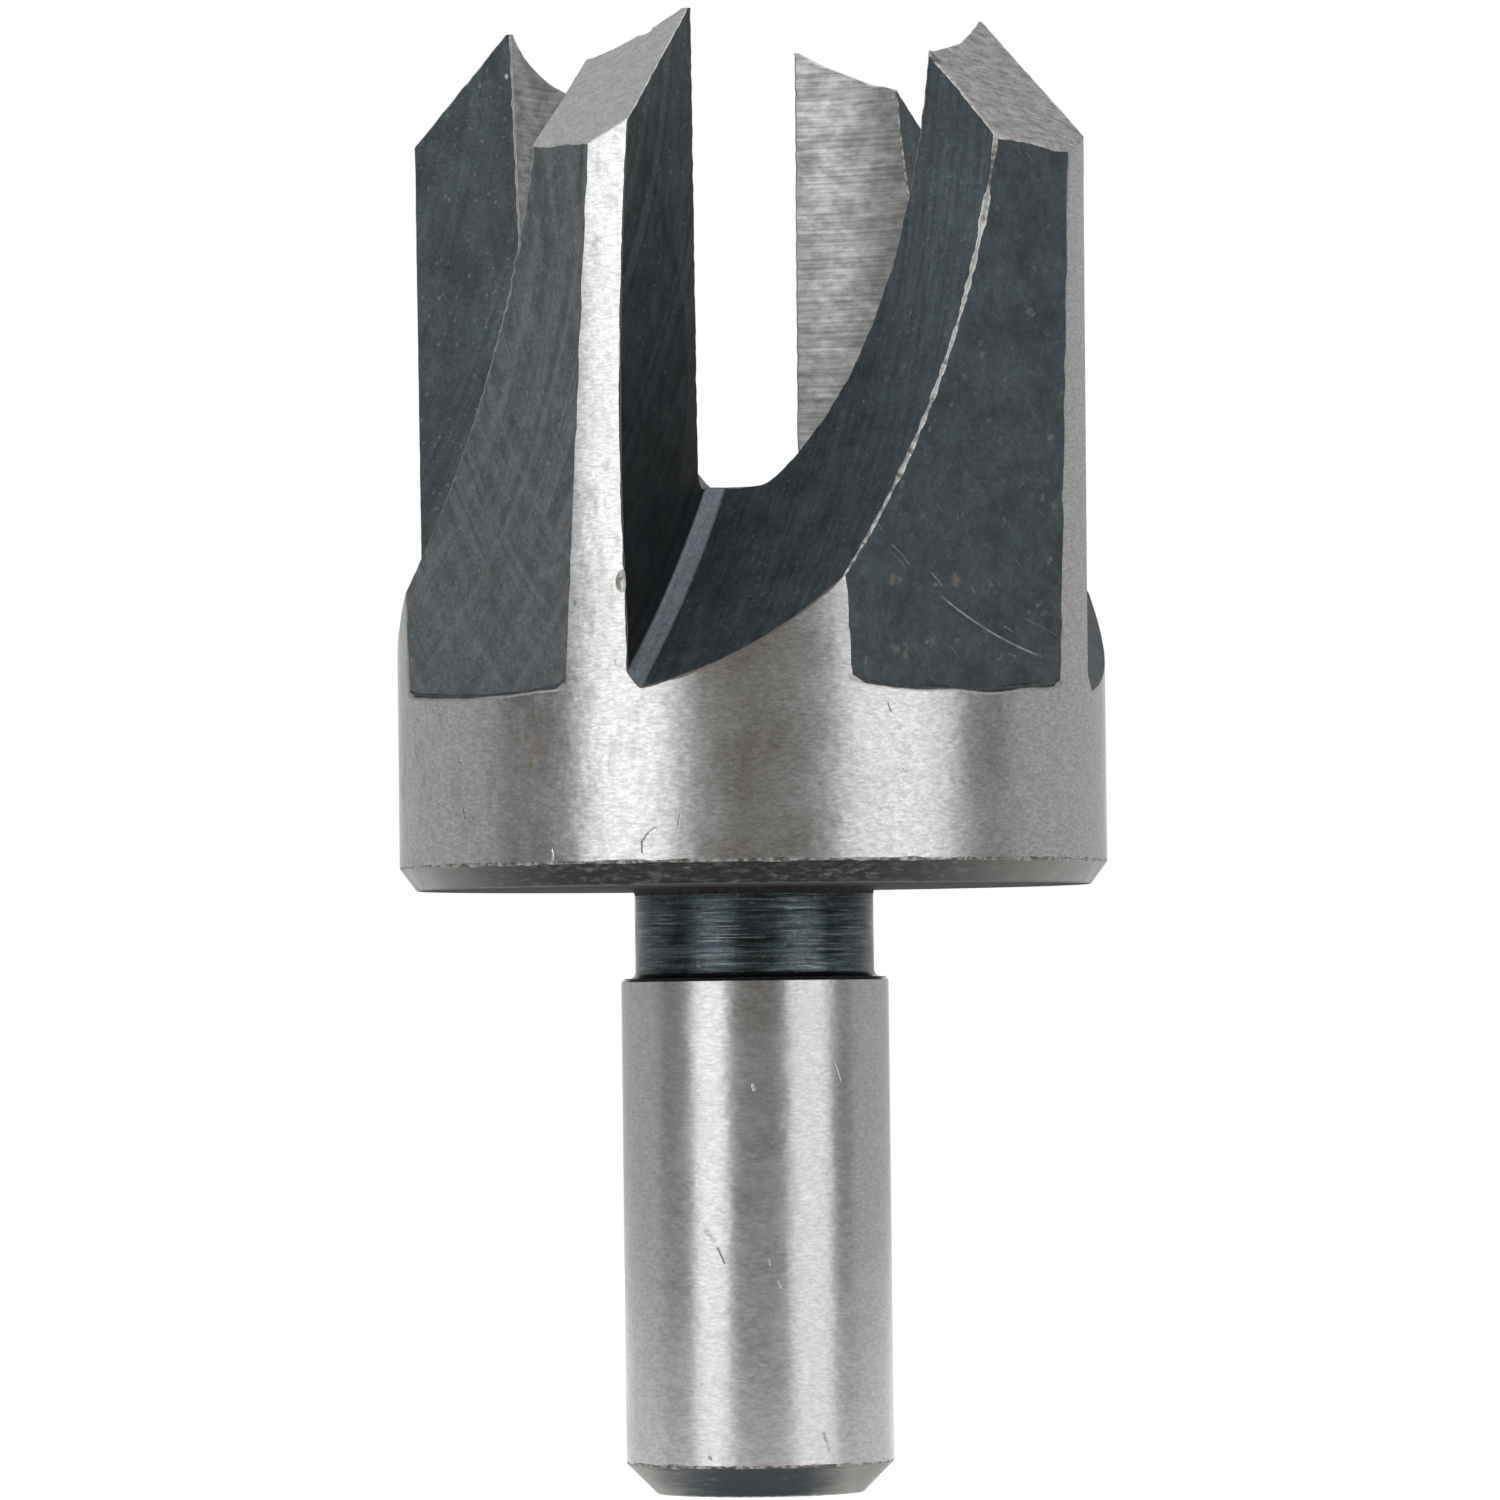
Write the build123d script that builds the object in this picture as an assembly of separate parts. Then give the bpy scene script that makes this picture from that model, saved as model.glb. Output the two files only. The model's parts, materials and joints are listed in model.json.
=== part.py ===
from build123d import *
import math
import os

# Shank and neck, in millimetres
shank_dia = 9.525
shank_length = 18.3
shank_end_chamfer = 1.1
shank_shoulder_break = 0.12
neck_dia = 8.5
neck_length = 3.2
neck_root_radius = 0.25

# Body and bore
body_dia = 25.2
body_length = 30.7
body_chamfer_radial = 0.6
body_chamfer_axial = 0.8
bore_mouth_dia = 17.1
bore_taper_deg = 2.0
bore_depth = 16.8
bore_floor_radius = 0.25

# Teeth, four on the real tool, all cut alike
tooth_count = 4

# Gullets, each sunk by the rim of a side milling cutter
gullet_cutter_dia = 72.0
gullet_cutter_corner = 0.55
gullet_cutter_above_tips = 2.0
face_lead = 2.7
face_hook_deg = 0.8
heel_setback = 1.3

# Flats milled on the backs of the teeth, which leave a narrow margin beside each cutting face
flat_turn_deg = 21.6
flat_depth_low = 0.9
flat_depth_tip = 1.5
flat_length = 24.1
flat_mill_dia = 50.0

# Tips, ground to one plane each
tip_slope_deg = 44.5
tip_relief_deg = 19.0

# Clearance by which every cutting pass runs out past the metal that it removes
run_out = 2.0

# Sizes that follow from those above
body_radius = body_dia / 2
shank_radius = shank_dia / 2
neck_radius = neck_dia / 2
mouth_radius = bore_mouth_dia / 2
body_underside_z = shank_length + neck_length
tip_z = body_underside_z + body_length
bore_floor_z = tip_z - bore_depth
flat_shoulder_z = tip_z - flat_length
cutter_radius = gullet_cutter_dia / 2
cutter_width = body_radius - face_lead + run_out
tooth_pitch_deg = 360 / tooth_count
inner_edge_x = math.sqrt(mouth_radius**2 - face_lead**2)


def around_axis(shape):
    """One copy of a pass for each tooth, spaced evenly round the tool's axis."""
    return [Rot(0, 0, tooth_pitch_deg * index) * shape for index in range(tooth_count)]


def turned_outline():
    """Half section of the turned blank: shank, necked relief and body, X as the radius and Z as the height."""
    stations = [
        (0, 0),
        (shank_radius - shank_end_chamfer, 0),
        (shank_radius, shank_end_chamfer),
        (shank_radius, shank_length - shank_shoulder_break),
        (shank_radius - shank_shoulder_break, shank_length),
        (neck_radius, shank_length),
        (neck_radius, body_underside_z),
        (body_radius - body_chamfer_radial, body_underside_z),
        (body_radius, body_underside_z + body_chamfer_axial),
        (body_radius, tip_z),
        (0, tip_z),
    ]
    outline = make_face(Polyline(*stations, close=True))
    neck_roots = [corner for corner in outline.vertices() if math.isclose(corner.X, neck_radius, abs_tol=1e-6)]
    return Plane.XZ * fillet(neck_roots, neck_root_radius)


def tapered_bore():
    """Bore that narrows toward a flat floor, so that the plug comes out slightly conical."""
    floor_radius = mouth_radius - bore_depth * math.tan(math.radians(bore_taper_deg))
    mouth_overrun = mouth_radius + run_out * math.tan(math.radians(bore_taper_deg))
    stations = [(0, bore_floor_z), (floor_radius, bore_floor_z), (mouth_overrun, tip_z + run_out), (0, tip_z + run_out)]
    outline = make_face(Polyline(*stations, close=True))
    floor_corner = [corner for corner in outline.vertices() if math.isclose(corner.X, floor_radius, abs_tol=1e-6)]
    return revolve(Plane.XZ * fillet(floor_corner, bore_floor_radius), Axis.Z)


def gullet_pass():
    """Disc of the side milling cutter at full depth: its side leaves the cutting face, its rim the sloping floor."""
    rim = [
        (0, 0),
        (cutter_radius - gullet_cutter_corner, 0),
        (cutter_radius, gullet_cutter_corner),
        (cutter_radius, cutter_width),
        (0, cutter_width),
    ]
    disc = revolve(make_face(Polyline(*rim, close=True)), Axis.Y)
    centre = (heel_setback + cutter_radius, face_lead, gullet_cutter_above_tips)
    return Pos(0, 0, tip_z) * Rot(-face_hook_deg, 0, 0) * Pos(*centre) * disc


def flat_pass():
    """Face mill's sweep along the back of a tooth: a leaning slab with a round end at its shoulder."""
    lean_deg = math.degrees(math.atan((flat_depth_tip - flat_depth_low) / flat_length))
    mill_radius = flat_mill_dia / 2
    lane = Pos(0, flat_length / 2) * Rectangle(flat_mill_dia, flat_length)
    sweep = extrude(lane + Circle(mill_radius), flat_depth_tip + run_out)
    wall = Plane(origin=(body_radius - flat_depth_low, 0, flat_shoulder_z), x_dir=(0, 1, 0), z_dir=(1, 0, 0))
    return Rot(0, 0, -flat_turn_deg) * wall.location * Rot(-lean_deg, 0, 0) * Pos(0, mill_radius) * sweep


def tip_pass():
    """Slab above one tooth's ground tip: highest at the bore, falling outward and back toward the heel."""
    slope = math.tan(math.radians(tip_slope_deg))
    relief = math.tan(math.radians(tip_relief_deg))
    reach = body_radius - inner_edge_x + run_out
    ground = Plane(origin=(inner_edge_x, face_lead, tip_z), x_dir=(1, 0, -slope), z_dir=(slope, -relief, 1))
    slab = Box(4 * reach, 4 * reach, body_radius, align=(Align.CENTER, Align.CENTER, Align.MIN))
    sector = Pos(inner_edge_x - run_out, face_lead + run_out, tip_z - body_radius) * Box(
        reach + run_out,
        face_lead + heel_setback + 2 * run_out,
        body_radius + run_out,
        align=(Align.MIN, Align.MAX, Align.MIN),
    )
    return (ground * slab) & sector


def plug_cutter():
    """The whole tool, turned and then milled and ground from one piece of tool steel."""
    blank = revolve(turned_outline(), Axis.Z) - tapered_bore()
    milled = blank - around_axis(gullet_pass()) - around_axis(flat_pass())
    return milled - around_axis(tip_pass())


os.makedirs("parts", exist_ok=True)
export_step(plug_cutter(), "parts/plug_cutter.step")
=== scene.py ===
import json
import logging
import math
from dataclasses import dataclass, field
from enum import Enum
from functools import reduce
from operator import add
from typing import Any, Callable, Iterable, Mapping, Sequence, Union

import bmesh
import bpy
import numpy as np
from mathutils import Matrix, Vector, kdtree, noise

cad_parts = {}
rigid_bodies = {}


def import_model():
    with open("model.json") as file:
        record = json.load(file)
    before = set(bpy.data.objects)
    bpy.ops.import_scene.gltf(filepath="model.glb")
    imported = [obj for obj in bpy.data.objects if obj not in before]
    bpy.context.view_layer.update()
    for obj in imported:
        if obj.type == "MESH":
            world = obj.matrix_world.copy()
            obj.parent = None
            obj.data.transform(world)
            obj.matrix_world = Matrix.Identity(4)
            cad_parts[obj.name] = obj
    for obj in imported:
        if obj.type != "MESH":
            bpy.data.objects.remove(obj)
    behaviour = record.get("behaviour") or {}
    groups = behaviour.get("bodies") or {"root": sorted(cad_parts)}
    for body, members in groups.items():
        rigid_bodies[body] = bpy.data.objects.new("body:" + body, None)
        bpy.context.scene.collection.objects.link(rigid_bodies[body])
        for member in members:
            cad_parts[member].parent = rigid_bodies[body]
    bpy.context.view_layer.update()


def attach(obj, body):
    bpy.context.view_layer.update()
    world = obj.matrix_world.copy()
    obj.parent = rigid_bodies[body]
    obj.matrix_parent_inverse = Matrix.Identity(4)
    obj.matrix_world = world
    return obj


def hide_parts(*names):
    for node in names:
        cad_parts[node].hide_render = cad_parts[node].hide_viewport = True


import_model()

log = logging.getLogger("plug_cutter")

MM = 0.001
CAD_NODE = "plug_cutter"
BENCH = "bench"
SURFACE = "surface"
SHADE = "shade"
BREAK_WEIGHT = "bevel_weight_edge"
PHOTO_SIDE = 1500.0
SENSOR_MM = 36.0
FAR = 1e9
KNOCKED_SHADE = 0.7
LEVEL = (1.0, 1.0, 0.0)

Span = tuple[float, float]
Triple = tuple[float, float, float]
Sharp = Callable[[bmesh.types.BMEdge], bool]


class Skin(Enum):
    """The surfaces of the tool, each left by its own step in the making."""

    GROUND = "ground"
    BORED = "bored"
    TIP = "tip"
    FLAT = "flat"
    SHOULDER = "shoulder"
    FACE = "face"
    CORNER = "corner"
    GULLET = "gullet"
    NECK = "neck"
    CHAMFER = "chamfer"
    UNDER = "under"
    NICK = "nick"
    EDGE = "edge"


SKINS = list(Skin)


@dataclass(frozen=True)
class Surface:
    """One exact surface that a turning, milling or grinding step leaves.

    Attributes:
        skin: which finish it carries.
        tooth: the tooth whose cut left it, or -1 for what is turned.
        gap: distances of points from it, in mm.
        normal: outward normals at points.
    """

    skin: Skin
    tooth: int
    gap: Callable[[np.ndarray], np.ndarray]
    normal: Callable[[np.ndarray], np.ndarray]

    def loosened(self, slack: float) -> "Surface":
        """The same surface, taking in points that wander from it by up to the slack."""

        def gap(points: np.ndarray) -> np.ndarray:
            """Distance beyond the slack."""
            return np.maximum(np.abs(self.gap(points)) - slack, 0.0)

        return Surface(self.skin, self.tooth, gap, self.normal)


@dataclass(frozen=True)
class Drawing:
    """Sizes that several cuts share, in mm.

    Attributes:
        tip_z: height of the teeth's inner points.
        body_radius: radius of the body.
        mouth_radius: radius of the bore at the tips.
        face_lead: how far each cutting face lies in front of the tooth's middle.
        setback: how far each gullet stays behind it.
    """

    tip_z: float = 52.2
    body_radius: float = 12.6
    mouth_radius: float = 8.55
    face_lead: float = 2.7
    setback: float = 1.3


DRAWING = Drawing()


def unit_rows(rows: np.ndarray) -> np.ndarray:
    """Rows scaled to length one."""
    return rows / np.maximum(np.linalg.norm(rows, axis=1, keepdims=True), 1e-12)


def turn(degrees: float, axis: str) -> Matrix:
    """A turn about one axis, as a 4 by 4 matrix."""
    return Matrix.Rotation(math.radians(degrees), 4, axis)


def move(x: float, y: float, z: float) -> Matrix:
    """A move, as a 4 by 4 matrix."""
    return Matrix.Translation((x, y, z))


def square(half: float) -> list[Span]:
    """Corners of a square about the middle."""
    return [(-half, -half), (half, -half), (half, half), (-half, half)]


def to_tooth(tooth: int) -> Matrix:
    """The quarter turns from the first tooth to another."""
    return turn(90.0 * tooth, "Z")


def placed(name: str, data: bpy.types.ID) -> bpy.types.Object:
    """A new object of the scene that holds the data."""
    made = bpy.data.objects.new(name, data)
    bpy.context.scene.collection.objects.link(made)
    return made


def mesh_object(name: str, points: Sequence[Sequence[float]], faces: Sequence[Sequence[int]]) -> bpy.types.Object:
    """Makes a mesh object and links it to the scene.

    Args:
        name: the object's name.
        points: vertices.
        faces: vertex numbers of each polygon.

    Returns:
        The new object.
    """
    mesh = bpy.data.meshes.new(name)
    mesh.from_pydata([tuple(p) for p in points], [], [tuple(f) for f in faces])
    return placed(name, mesh)


def loft(name: str, rings: Sequence[Sequence[Sequence[float]]]) -> bpy.types.Object:
    """Closed solid through rings of equal length, capped at both ends.

    Args:
        name: the object's name.
        rings: rings of points, one after the other.

    Returns:
        The solid.
    """
    count = len(rings[0])
    points = [p for ring in rings for p in ring]
    faces = [
        (row * count + i, row * count + (i + 1) % count, (row + 1) * count + (i + 1) % count, (row + 1) * count + i)
        for row in range(len(rings) - 1)
        for i in range(count)
    ]
    last = (len(rings) - 1) * count
    faces.append(tuple(reversed(range(count))))
    faces.append(tuple(range(last, last + count)))
    made = mesh_object(name, points, faces)
    shape = bmesh.new()
    shape.from_mesh(made.data)
    bmesh.ops.recalc_face_normals(shape, faces=shape.faces)
    shape.to_mesh(made.data)
    shape.free()
    return made


@dataclass(frozen=True)
class Station:
    """A point of a half outline, and the run that leaves it.

    Attributes:
        radius: distance from the axis.
        height: place along the axis.
        skin: the finish of the run.
        centre: radius and height of the centre that the run bends about, or None where it is straight.
    """

    radius: float
    height: float
    skin: Skin
    centre: Span | None = None

    def bend(self, end: "Station") -> float:
        """Angle by which the run turns about its centre on the way to its end, positive where it bulges out."""
        r, z = self.centre
        first = math.atan2(self.height - z, self.radius - r)
        last = math.atan2(end.height - z, end.radius - r)
        return (last - first + math.pi) % math.tau - math.pi

    def between(self, end: "Station", steps: int) -> list[Span]:
        """Radius and height of points along the run, its end left out."""
        if self.centre is None:
            return [(self.radius, self.height)]
        r, z = self.centre
        size = math.hypot(self.radius - r, self.height - z)
        first = math.atan2(self.height - z, self.radius - r)
        angles = [first + self.bend(end) * i / steps for i in range(steps)]
        return [(r + size * math.cos(a), z + size * math.sin(a)) for a in angles]

    def offset(self, end: "Station", r: np.ndarray, z: np.ndarray) -> tuple[np.ndarray, np.ndarray, np.ndarray]:
        """How places lie to the run.

        Args:
            end: the next station.
            r: distances from the axis.
            z: places along it.

        Returns:
            Distances from the run, and the outward direction along the radius and along the axis.
        """
        if self.centre is None:
            across, along = end.height - self.height, self.radius - end.radius
            length = math.hypot(across, along)
            across, along = across / length, along / length
            gap = (r - self.radius) * across + (z - self.height) * along
            return gap, np.full(len(r), across), np.full(len(r), along)
        r0, z0 = self.centre
        size = math.hypot(self.radius - r0, self.height - z0)
        away = np.maximum(np.hypot(r - r0, z - z0), 1e-9)
        sign = math.copysign(1.0, self.bend(end))
        return sign * (away - size), sign * (r - r0) / away, sign * (z - z0) / away


@dataclass
class Turned:
    """A form turned about its own axis.

    Attributes:
        name: the name of the form.
        stations: its half outline.
        steps: facets round the axis.
        place: where the form's axis stands.
        tooth: the tooth that it cuts, or -1.
        hollow: true for a tool that removes metal, whose normals point the other way.
        bend_steps: facets along a bent run.
    """

    name: str
    stations: Sequence[Station]
    steps: int = 360
    place: Matrix = field(default_factory=Matrix)
    tooth: int = -1
    hollow: bool = False
    bend_steps: int = 6

    def solid(self) -> bpy.types.Object:
        """The form as a closed mesh."""
        points: list[Vector] = []
        rows: list[list[int]] = []
        outline: list[Span] = []
        for begin, end in zip(self.stations, self.stations[1:]):
            outline += begin.between(end, self.bend_steps)
        outline.append((self.stations[-1].radius, self.stations[-1].height))
        for radius, height in outline:
            if radius == 0:
                points.append(self.place @ Vector((0, 0, height)))
                rows.append([len(points) - 1] * self.steps)
                continue
            start = len(points)
            for i in range(self.steps):
                angle = math.tau * i / self.steps
                points.append(self.place @ Vector((radius * math.cos(angle), radius * math.sin(angle), height)))
            rows.append(list(range(start, start + self.steps)))
        faces = []
        for low, high in zip(rows, rows[1:]):
            for i in range(self.steps):
                j = (i + 1) % self.steps
                corners = [low[i], low[j], high[j], high[i]]
                faces.append([c for n, c in enumerate(corners) if c not in corners[:n]])
        return mesh_object(self.name, points, faces)

    def surfaces(self) -> list[Surface]:
        """The exact surface behind each run of the outline."""
        back = np.array(self.place.inverted())
        spin = np.array(self.place.to_3x3())
        sign = -1.0 if self.hollow else 1.0
        made = []
        for start, end in zip(self.stations, self.stations[1:]):

            def gap(points: np.ndarray, start: Station = start, end: Station = end) -> np.ndarray:
                """Distance from this run's surface."""
                at = points @ back[:3, :3].T + back[:3, 3]
                return start.offset(end, np.hypot(at[:, 0], at[:, 1]), at[:, 2])[0]

            def normal(points: np.ndarray, start: Station = start, end: Station = end) -> np.ndarray:
                """Outward normal of this run's surface."""
                at = points @ back[:3, :3].T + back[:3, 3]
                _, across, along = start.offset(end, np.hypot(at[:, 0], at[:, 1]), at[:, 2])
                rows = np.column_stack([unit_rows(at[:, :2]) * across[:, None], along])
                return sign * rows @ spin.T

            made.append(Surface(start.skin, self.tooth, gap, normal))
        return made


def plane_surface(skin: Skin, tooth: int, origin: Vector, outward: Vector) -> Surface:
    """The surface that a flat cut leaves.

    Args:
        skin: the finish it carries.
        tooth: the tooth that it belongs to.
        origin: a point of the plane.
        outward: its normal, away from the metal.

    Returns:
        The surface.
    """
    n = np.array(outward.normalized())
    o = np.array(origin)
    return Surface(skin, tooth, lambda points: (points - o) @ n, lambda points: np.tile(n, (len(points), 1)))


@dataclass(frozen=True)
class Blank:
    """The turned blank: shank, necked relief and body."""

    shank_radius: float = 4.7625
    shank_length: float = 18.3
    shank_end_chamfer: float = 1.1
    shoulder_break: float = 0.12
    neck_radius: float = 4.25
    neck_length: float = 3.2
    neck_root_radius: float = 0.25
    chamfer_radial: float = 0.6
    chamfer_axial: float = 0.8
    top: float = 53.2

    def stations(self) -> list[Station]:
        """The half outline, from the middle of the shank's end up to the middle of the top."""
        under = self.shank_length + self.neck_length
        root = self.neck_root_radius
        bend = self.neck_radius + root
        return [
            Station(0.0, 0.0, Skin.CHAMFER),
            Station(self.shank_radius - self.shank_end_chamfer, 0.0, Skin.CHAMFER),
            Station(self.shank_radius, self.shank_end_chamfer, Skin.GROUND),
            Station(self.shank_radius, self.shank_length - self.shoulder_break, Skin.GROUND),
            Station(self.shank_radius - self.shoulder_break, self.shank_length, Skin.NECK),
            Station(bend, self.shank_length, Skin.NECK, (bend, self.shank_length + root)),
            Station(self.neck_radius, self.shank_length + root, Skin.NECK),
            Station(self.neck_radius, under - root, Skin.UNDER, (bend, under - root)),
            Station(bend, under, Skin.UNDER),
            Station(DRAWING.body_radius - self.chamfer_radial, under, Skin.CHAMFER),
            Station(DRAWING.body_radius, under + self.chamfer_axial, Skin.GROUND),
            Station(DRAWING.body_radius, self.top, Skin.TIP),
            Station(0.0, self.top, Skin.TIP),
        ]

    def form(self) -> Turned:
        """The blank as a turned form."""
        return Turned("blank", self.stations())


@dataclass(frozen=True)
class Bore:
    """The tapered bore that shapes the plug; its floor has a ring of facets inside its rim."""

    taper_deg: float = 2.0
    depth: float = 16.8
    floor_radius: float = 0.3
    inner_ring: float = 0.7
    over: float = 2.0

    def form(self) -> Turned:
        """The boring tool's sweep."""
        taper = math.radians(self.taper_deg)
        slope = math.tan(taper)
        mouth, tip_z, bend = DRAWING.mouth_radius, DRAWING.tip_z, self.floor_radius
        floor_z = tip_z - self.depth
        middle = mouth - self.depth * slope - bend * (1 - math.sin(taper)) / math.cos(taper)
        centre = (middle, floor_z + bend)
        wall = (middle + bend * math.cos(taper), centre[1] - bend * math.sin(taper))
        stations = [
            Station(0.0, floor_z, Skin.BORED),
            Station(middle * self.inner_ring, floor_z, Skin.BORED),
            Station(middle, floor_z, Skin.BORED, centre),
            Station(*wall, Skin.BORED),
            Station(mouth + self.over * slope, tip_z + self.over, Skin.BORED),
            Station(0.0, tip_z + self.over, Skin.BORED),
        ]
        return Turned("boring_tool", stations, hollow=True)


@dataclass(frozen=True)
class Gullet:
    """The side mill that sinks one gullet, leaving the cutting face, its corner and the sloping floor."""

    tooth: int
    cutter_radius: float = 36.0
    corner: float = 0.46
    corner_round: float = 0.15
    above_tips: float = 2.0
    hook_deg: float = 0.8
    width: float = 11.9
    steps: int = 900

    def place(self) -> Matrix:
        """Frame of the mill, its axis pointing away from the cutting face."""
        lift = move(0, 0, DRAWING.tip_z) @ turn(-self.hook_deg, "X")
        out = DRAWING.setback + self.cutter_radius
        centre = move(out, DRAWING.face_lead, self.above_tips)
        return to_tooth(self.tooth) @ lift @ centre @ turn(-90, "X")

    def form(self) -> Turned:
        """The mill's sweep at full depth, with a chamfer of 45 degrees between its side and its rim."""
        rim, leg, bend = self.cutter_radius, self.corner, self.corner_round
        run = bend * math.tan(math.pi / 8)
        rise = run / math.sqrt(2)
        stations = [
            Station(0.0, 0.0, Skin.FACE),
            Station(rim - leg - run, 0.0, Skin.CORNER, (rim - leg - run, bend)),
            Station(rim - leg + rise, rise, Skin.CORNER),
            Station(rim - rise, leg - rise, Skin.CORNER, (rim - bend, leg + run)),
            Station(rim, leg + run, Skin.GULLET),
            Station(rim, self.width, Skin.GULLET),
            Station(0.0, self.width, Skin.GULLET),
        ]
        name = f"gullet_mill_{self.tooth}"
        return Turned(name, stations, self.steps, self.place(), self.tooth, hollow=True, bend_steps=3)


@dataclass(frozen=True)
class Flat:
    """The face mill's pass along the back of one tooth, with a round lower end that wanders a little.

    Attributes:
        ripple: how far the round end wanders.
        waves: broad and fine wanderings per mm.
        fine_share: size of the fine ones as a share of the broad ones.
        seeds: where the wandering is read for each next tooth, and for the fine part.
    """

    tooth: int
    turn_deg: float = 21.6
    depth_low: float = 0.9
    depth_tip: float = 1.5
    length: float = 24.1
    mill_radius: float = 36.0
    mill_corner: float = 0.16
    corner_steps: int = 5
    over: float = 4.0
    arc_steps: int = 180
    ripple: float = 0.1
    waves: Span = (0.55, 2.4)
    fine_share: float = 0.15
    seeds: Span = (3.1, 5.0)

    def place(self) -> Matrix:
        """Frame of the flat: X across it, Y up along it, Z out of the metal."""
        lean = math.atan((self.depth_tip - self.depth_low) / self.length)
        wall = move(DRAWING.body_radius - self.depth_low, 0, DRAWING.tip_z - self.length)
        axes = Matrix(((0, 0, 1, 0), (1, 0, 0, 0), (0, 1, 0, 0), (0, 0, 0, 1)))
        return turn(90.0 * self.tooth - self.turn_deg, "Z") @ wall @ axes @ Matrix.Rotation(-lean, 4, "X")

    def ring(self, inset: float, height: float) -> list[Vector]:
        """Outline of the mill's sweep at one height over the flat, its round end drawn in by the inset."""
        reach = DRAWING.body_radius
        half = math.asin(reach / self.mill_radius)
        outline = []
        for i in range(self.arc_steps + 1):
            angle = -half + 2 * half * i / self.arc_steps
            spot, seed = self.mill_radius * angle, self.seeds[0] * self.tooth
            wander = noise.noise(Vector((self.waves[0] * spot, seed, 0.0)))
            wander += self.fine_share * noise.noise(Vector((self.waves[1] * spot, seed, self.seeds[1])))
            size = self.mill_radius - inset + self.ripple * wander
            outline.append((size * math.sin(angle), self.mill_radius - size * math.cos(angle)))
        outline += [(reach, self.length + self.over), (-reach, self.length + self.over)]
        return [self.place() @ Vector((x, y, height)) for x, y in outline]

    def solid(self) -> bpy.types.Object:
        """The mill's sweep: a slab with a round lower end and the mill's own corner along it."""
        bends = [math.pi / 2 * i / self.corner_steps for i in range(self.corner_steps + 1)]
        rings = [self.ring(self.mill_corner * (1 - math.sin(a)), self.mill_corner * (1 - math.cos(a))) for a in bends]
        return loft(f"flat_mill_{self.tooth}", rings + [self.ring(0.0, self.depth_tip + self.over)])

    def surfaces(self) -> list[Surface]:
        """The flat itself, the rounded root and the round shoulder at its lower end."""
        place = self.place()
        flat = plane_surface(Skin.FLAT, self.tooth, place.translation, place.to_3x3() @ Vector((0, 0, 1)))
        spin = place @ move(0, self.mill_radius, 0)
        inner = self.mill_radius - self.mill_corner
        stations = [
            Station(inner, 0.0, Skin.SHOULDER, (inner, self.mill_corner)),
            Station(self.mill_radius, self.mill_corner, Skin.SHOULDER),
            Station(self.mill_radius, self.over, Skin.SHOULDER),
        ]
        rims = Turned("shoulder", stations, place=spin, tooth=self.tooth, hollow=True).surfaces()
        return [flat] + [rim.loosened(self.ripple) for rim in rims]


@dataclass(frozen=True)
class FaceHollow:
    """A long shallow hollow that the mill left in one cutting face, deepest at its outer edge.

    Attributes:
        tooth: which tooth.
        middle_z: where it is deepest.
        depth: how deep it is at the outer edge.
        radius: the radius of its long curve.
        lean_deg: how fast it fades toward the bore.
        face_y: how far the face lies in front of the tooth's middle there.
        outer_x: distance of the outer edge from the axis.
        thick: how far the cut reaches to each side of the outer edge.
        half: half the cutter's length.
        clear: how far the cutter stands out of the face.
        over: how far the cutter's back reaches out of the face before it is trimmed.
        stock: half the side of the block that trims it.
        steps: facets along it.
    """

    tooth: int = 3
    middle_z: float = 37.1
    depth: float = 0.25
    radius: float = 150.0
    lean_deg: float = 3.8
    face_y: float = 2.49
    outer_x: float = 12.3
    thick: float = 5.0
    half: float = 11.0
    clear: float = 0.02
    over: float = 2.0
    stock: float = 60.0
    steps: int = 60

    def place(self) -> Matrix:
        """Frame of the cutter, its axis along the tooth's outward direction."""
        reach = Vector((0, self.radius, 0))
        axis = move(self.outer_x, self.face_y - self.depth + self.radius, self.middle_z)
        leant = to_tooth(self.tooth) @ axis @ Matrix.Translation(-reach) @ turn(-self.lean_deg, "Z")
        return leant @ Matrix.Translation(reach) @ turn(90, "Y")

    def solid(self) -> bpy.types.Object:
        """The lens between the cutter's curve and the face."""
        reach = math.asin(self.half / self.radius)
        angles = [-reach + 2 * reach * i / self.steps for i in range(self.steps + 1)]
        outline = [(-self.radius * math.sin(a), -self.radius * math.cos(a)) for a in angles]
        outline += [(-self.half, self.over - self.radius), (self.half, self.over - self.radius)]
        rings = [[self.place() @ Vector((x, y, z)) for x, y in outline] for z in (-self.thick, self.thick)]
        lens = loft(f"face_hollow_{self.tooth}", rings)
        gullet = Gullet(self.tooth)
        front = gullet.place() @ move(0, 0, self.clear - self.over)
        block = [[front @ Vector((x, y, z)) for x, y in square(self.stock)] for z in (-self.over, self.over)]
        combine(lens, [loft("face_stock", block)], "INTERSECT")
        return lens

    def surface(self) -> Surface:
        """The hollow's cylinder."""
        stations = [Station(self.radius, -self.thick, Skin.FACE), Station(self.radius, self.thick, Skin.FACE)]
        return Turned("hollow", stations, place=self.place(), tooth=self.tooth, hollow=True).surfaces()[0]


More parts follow.
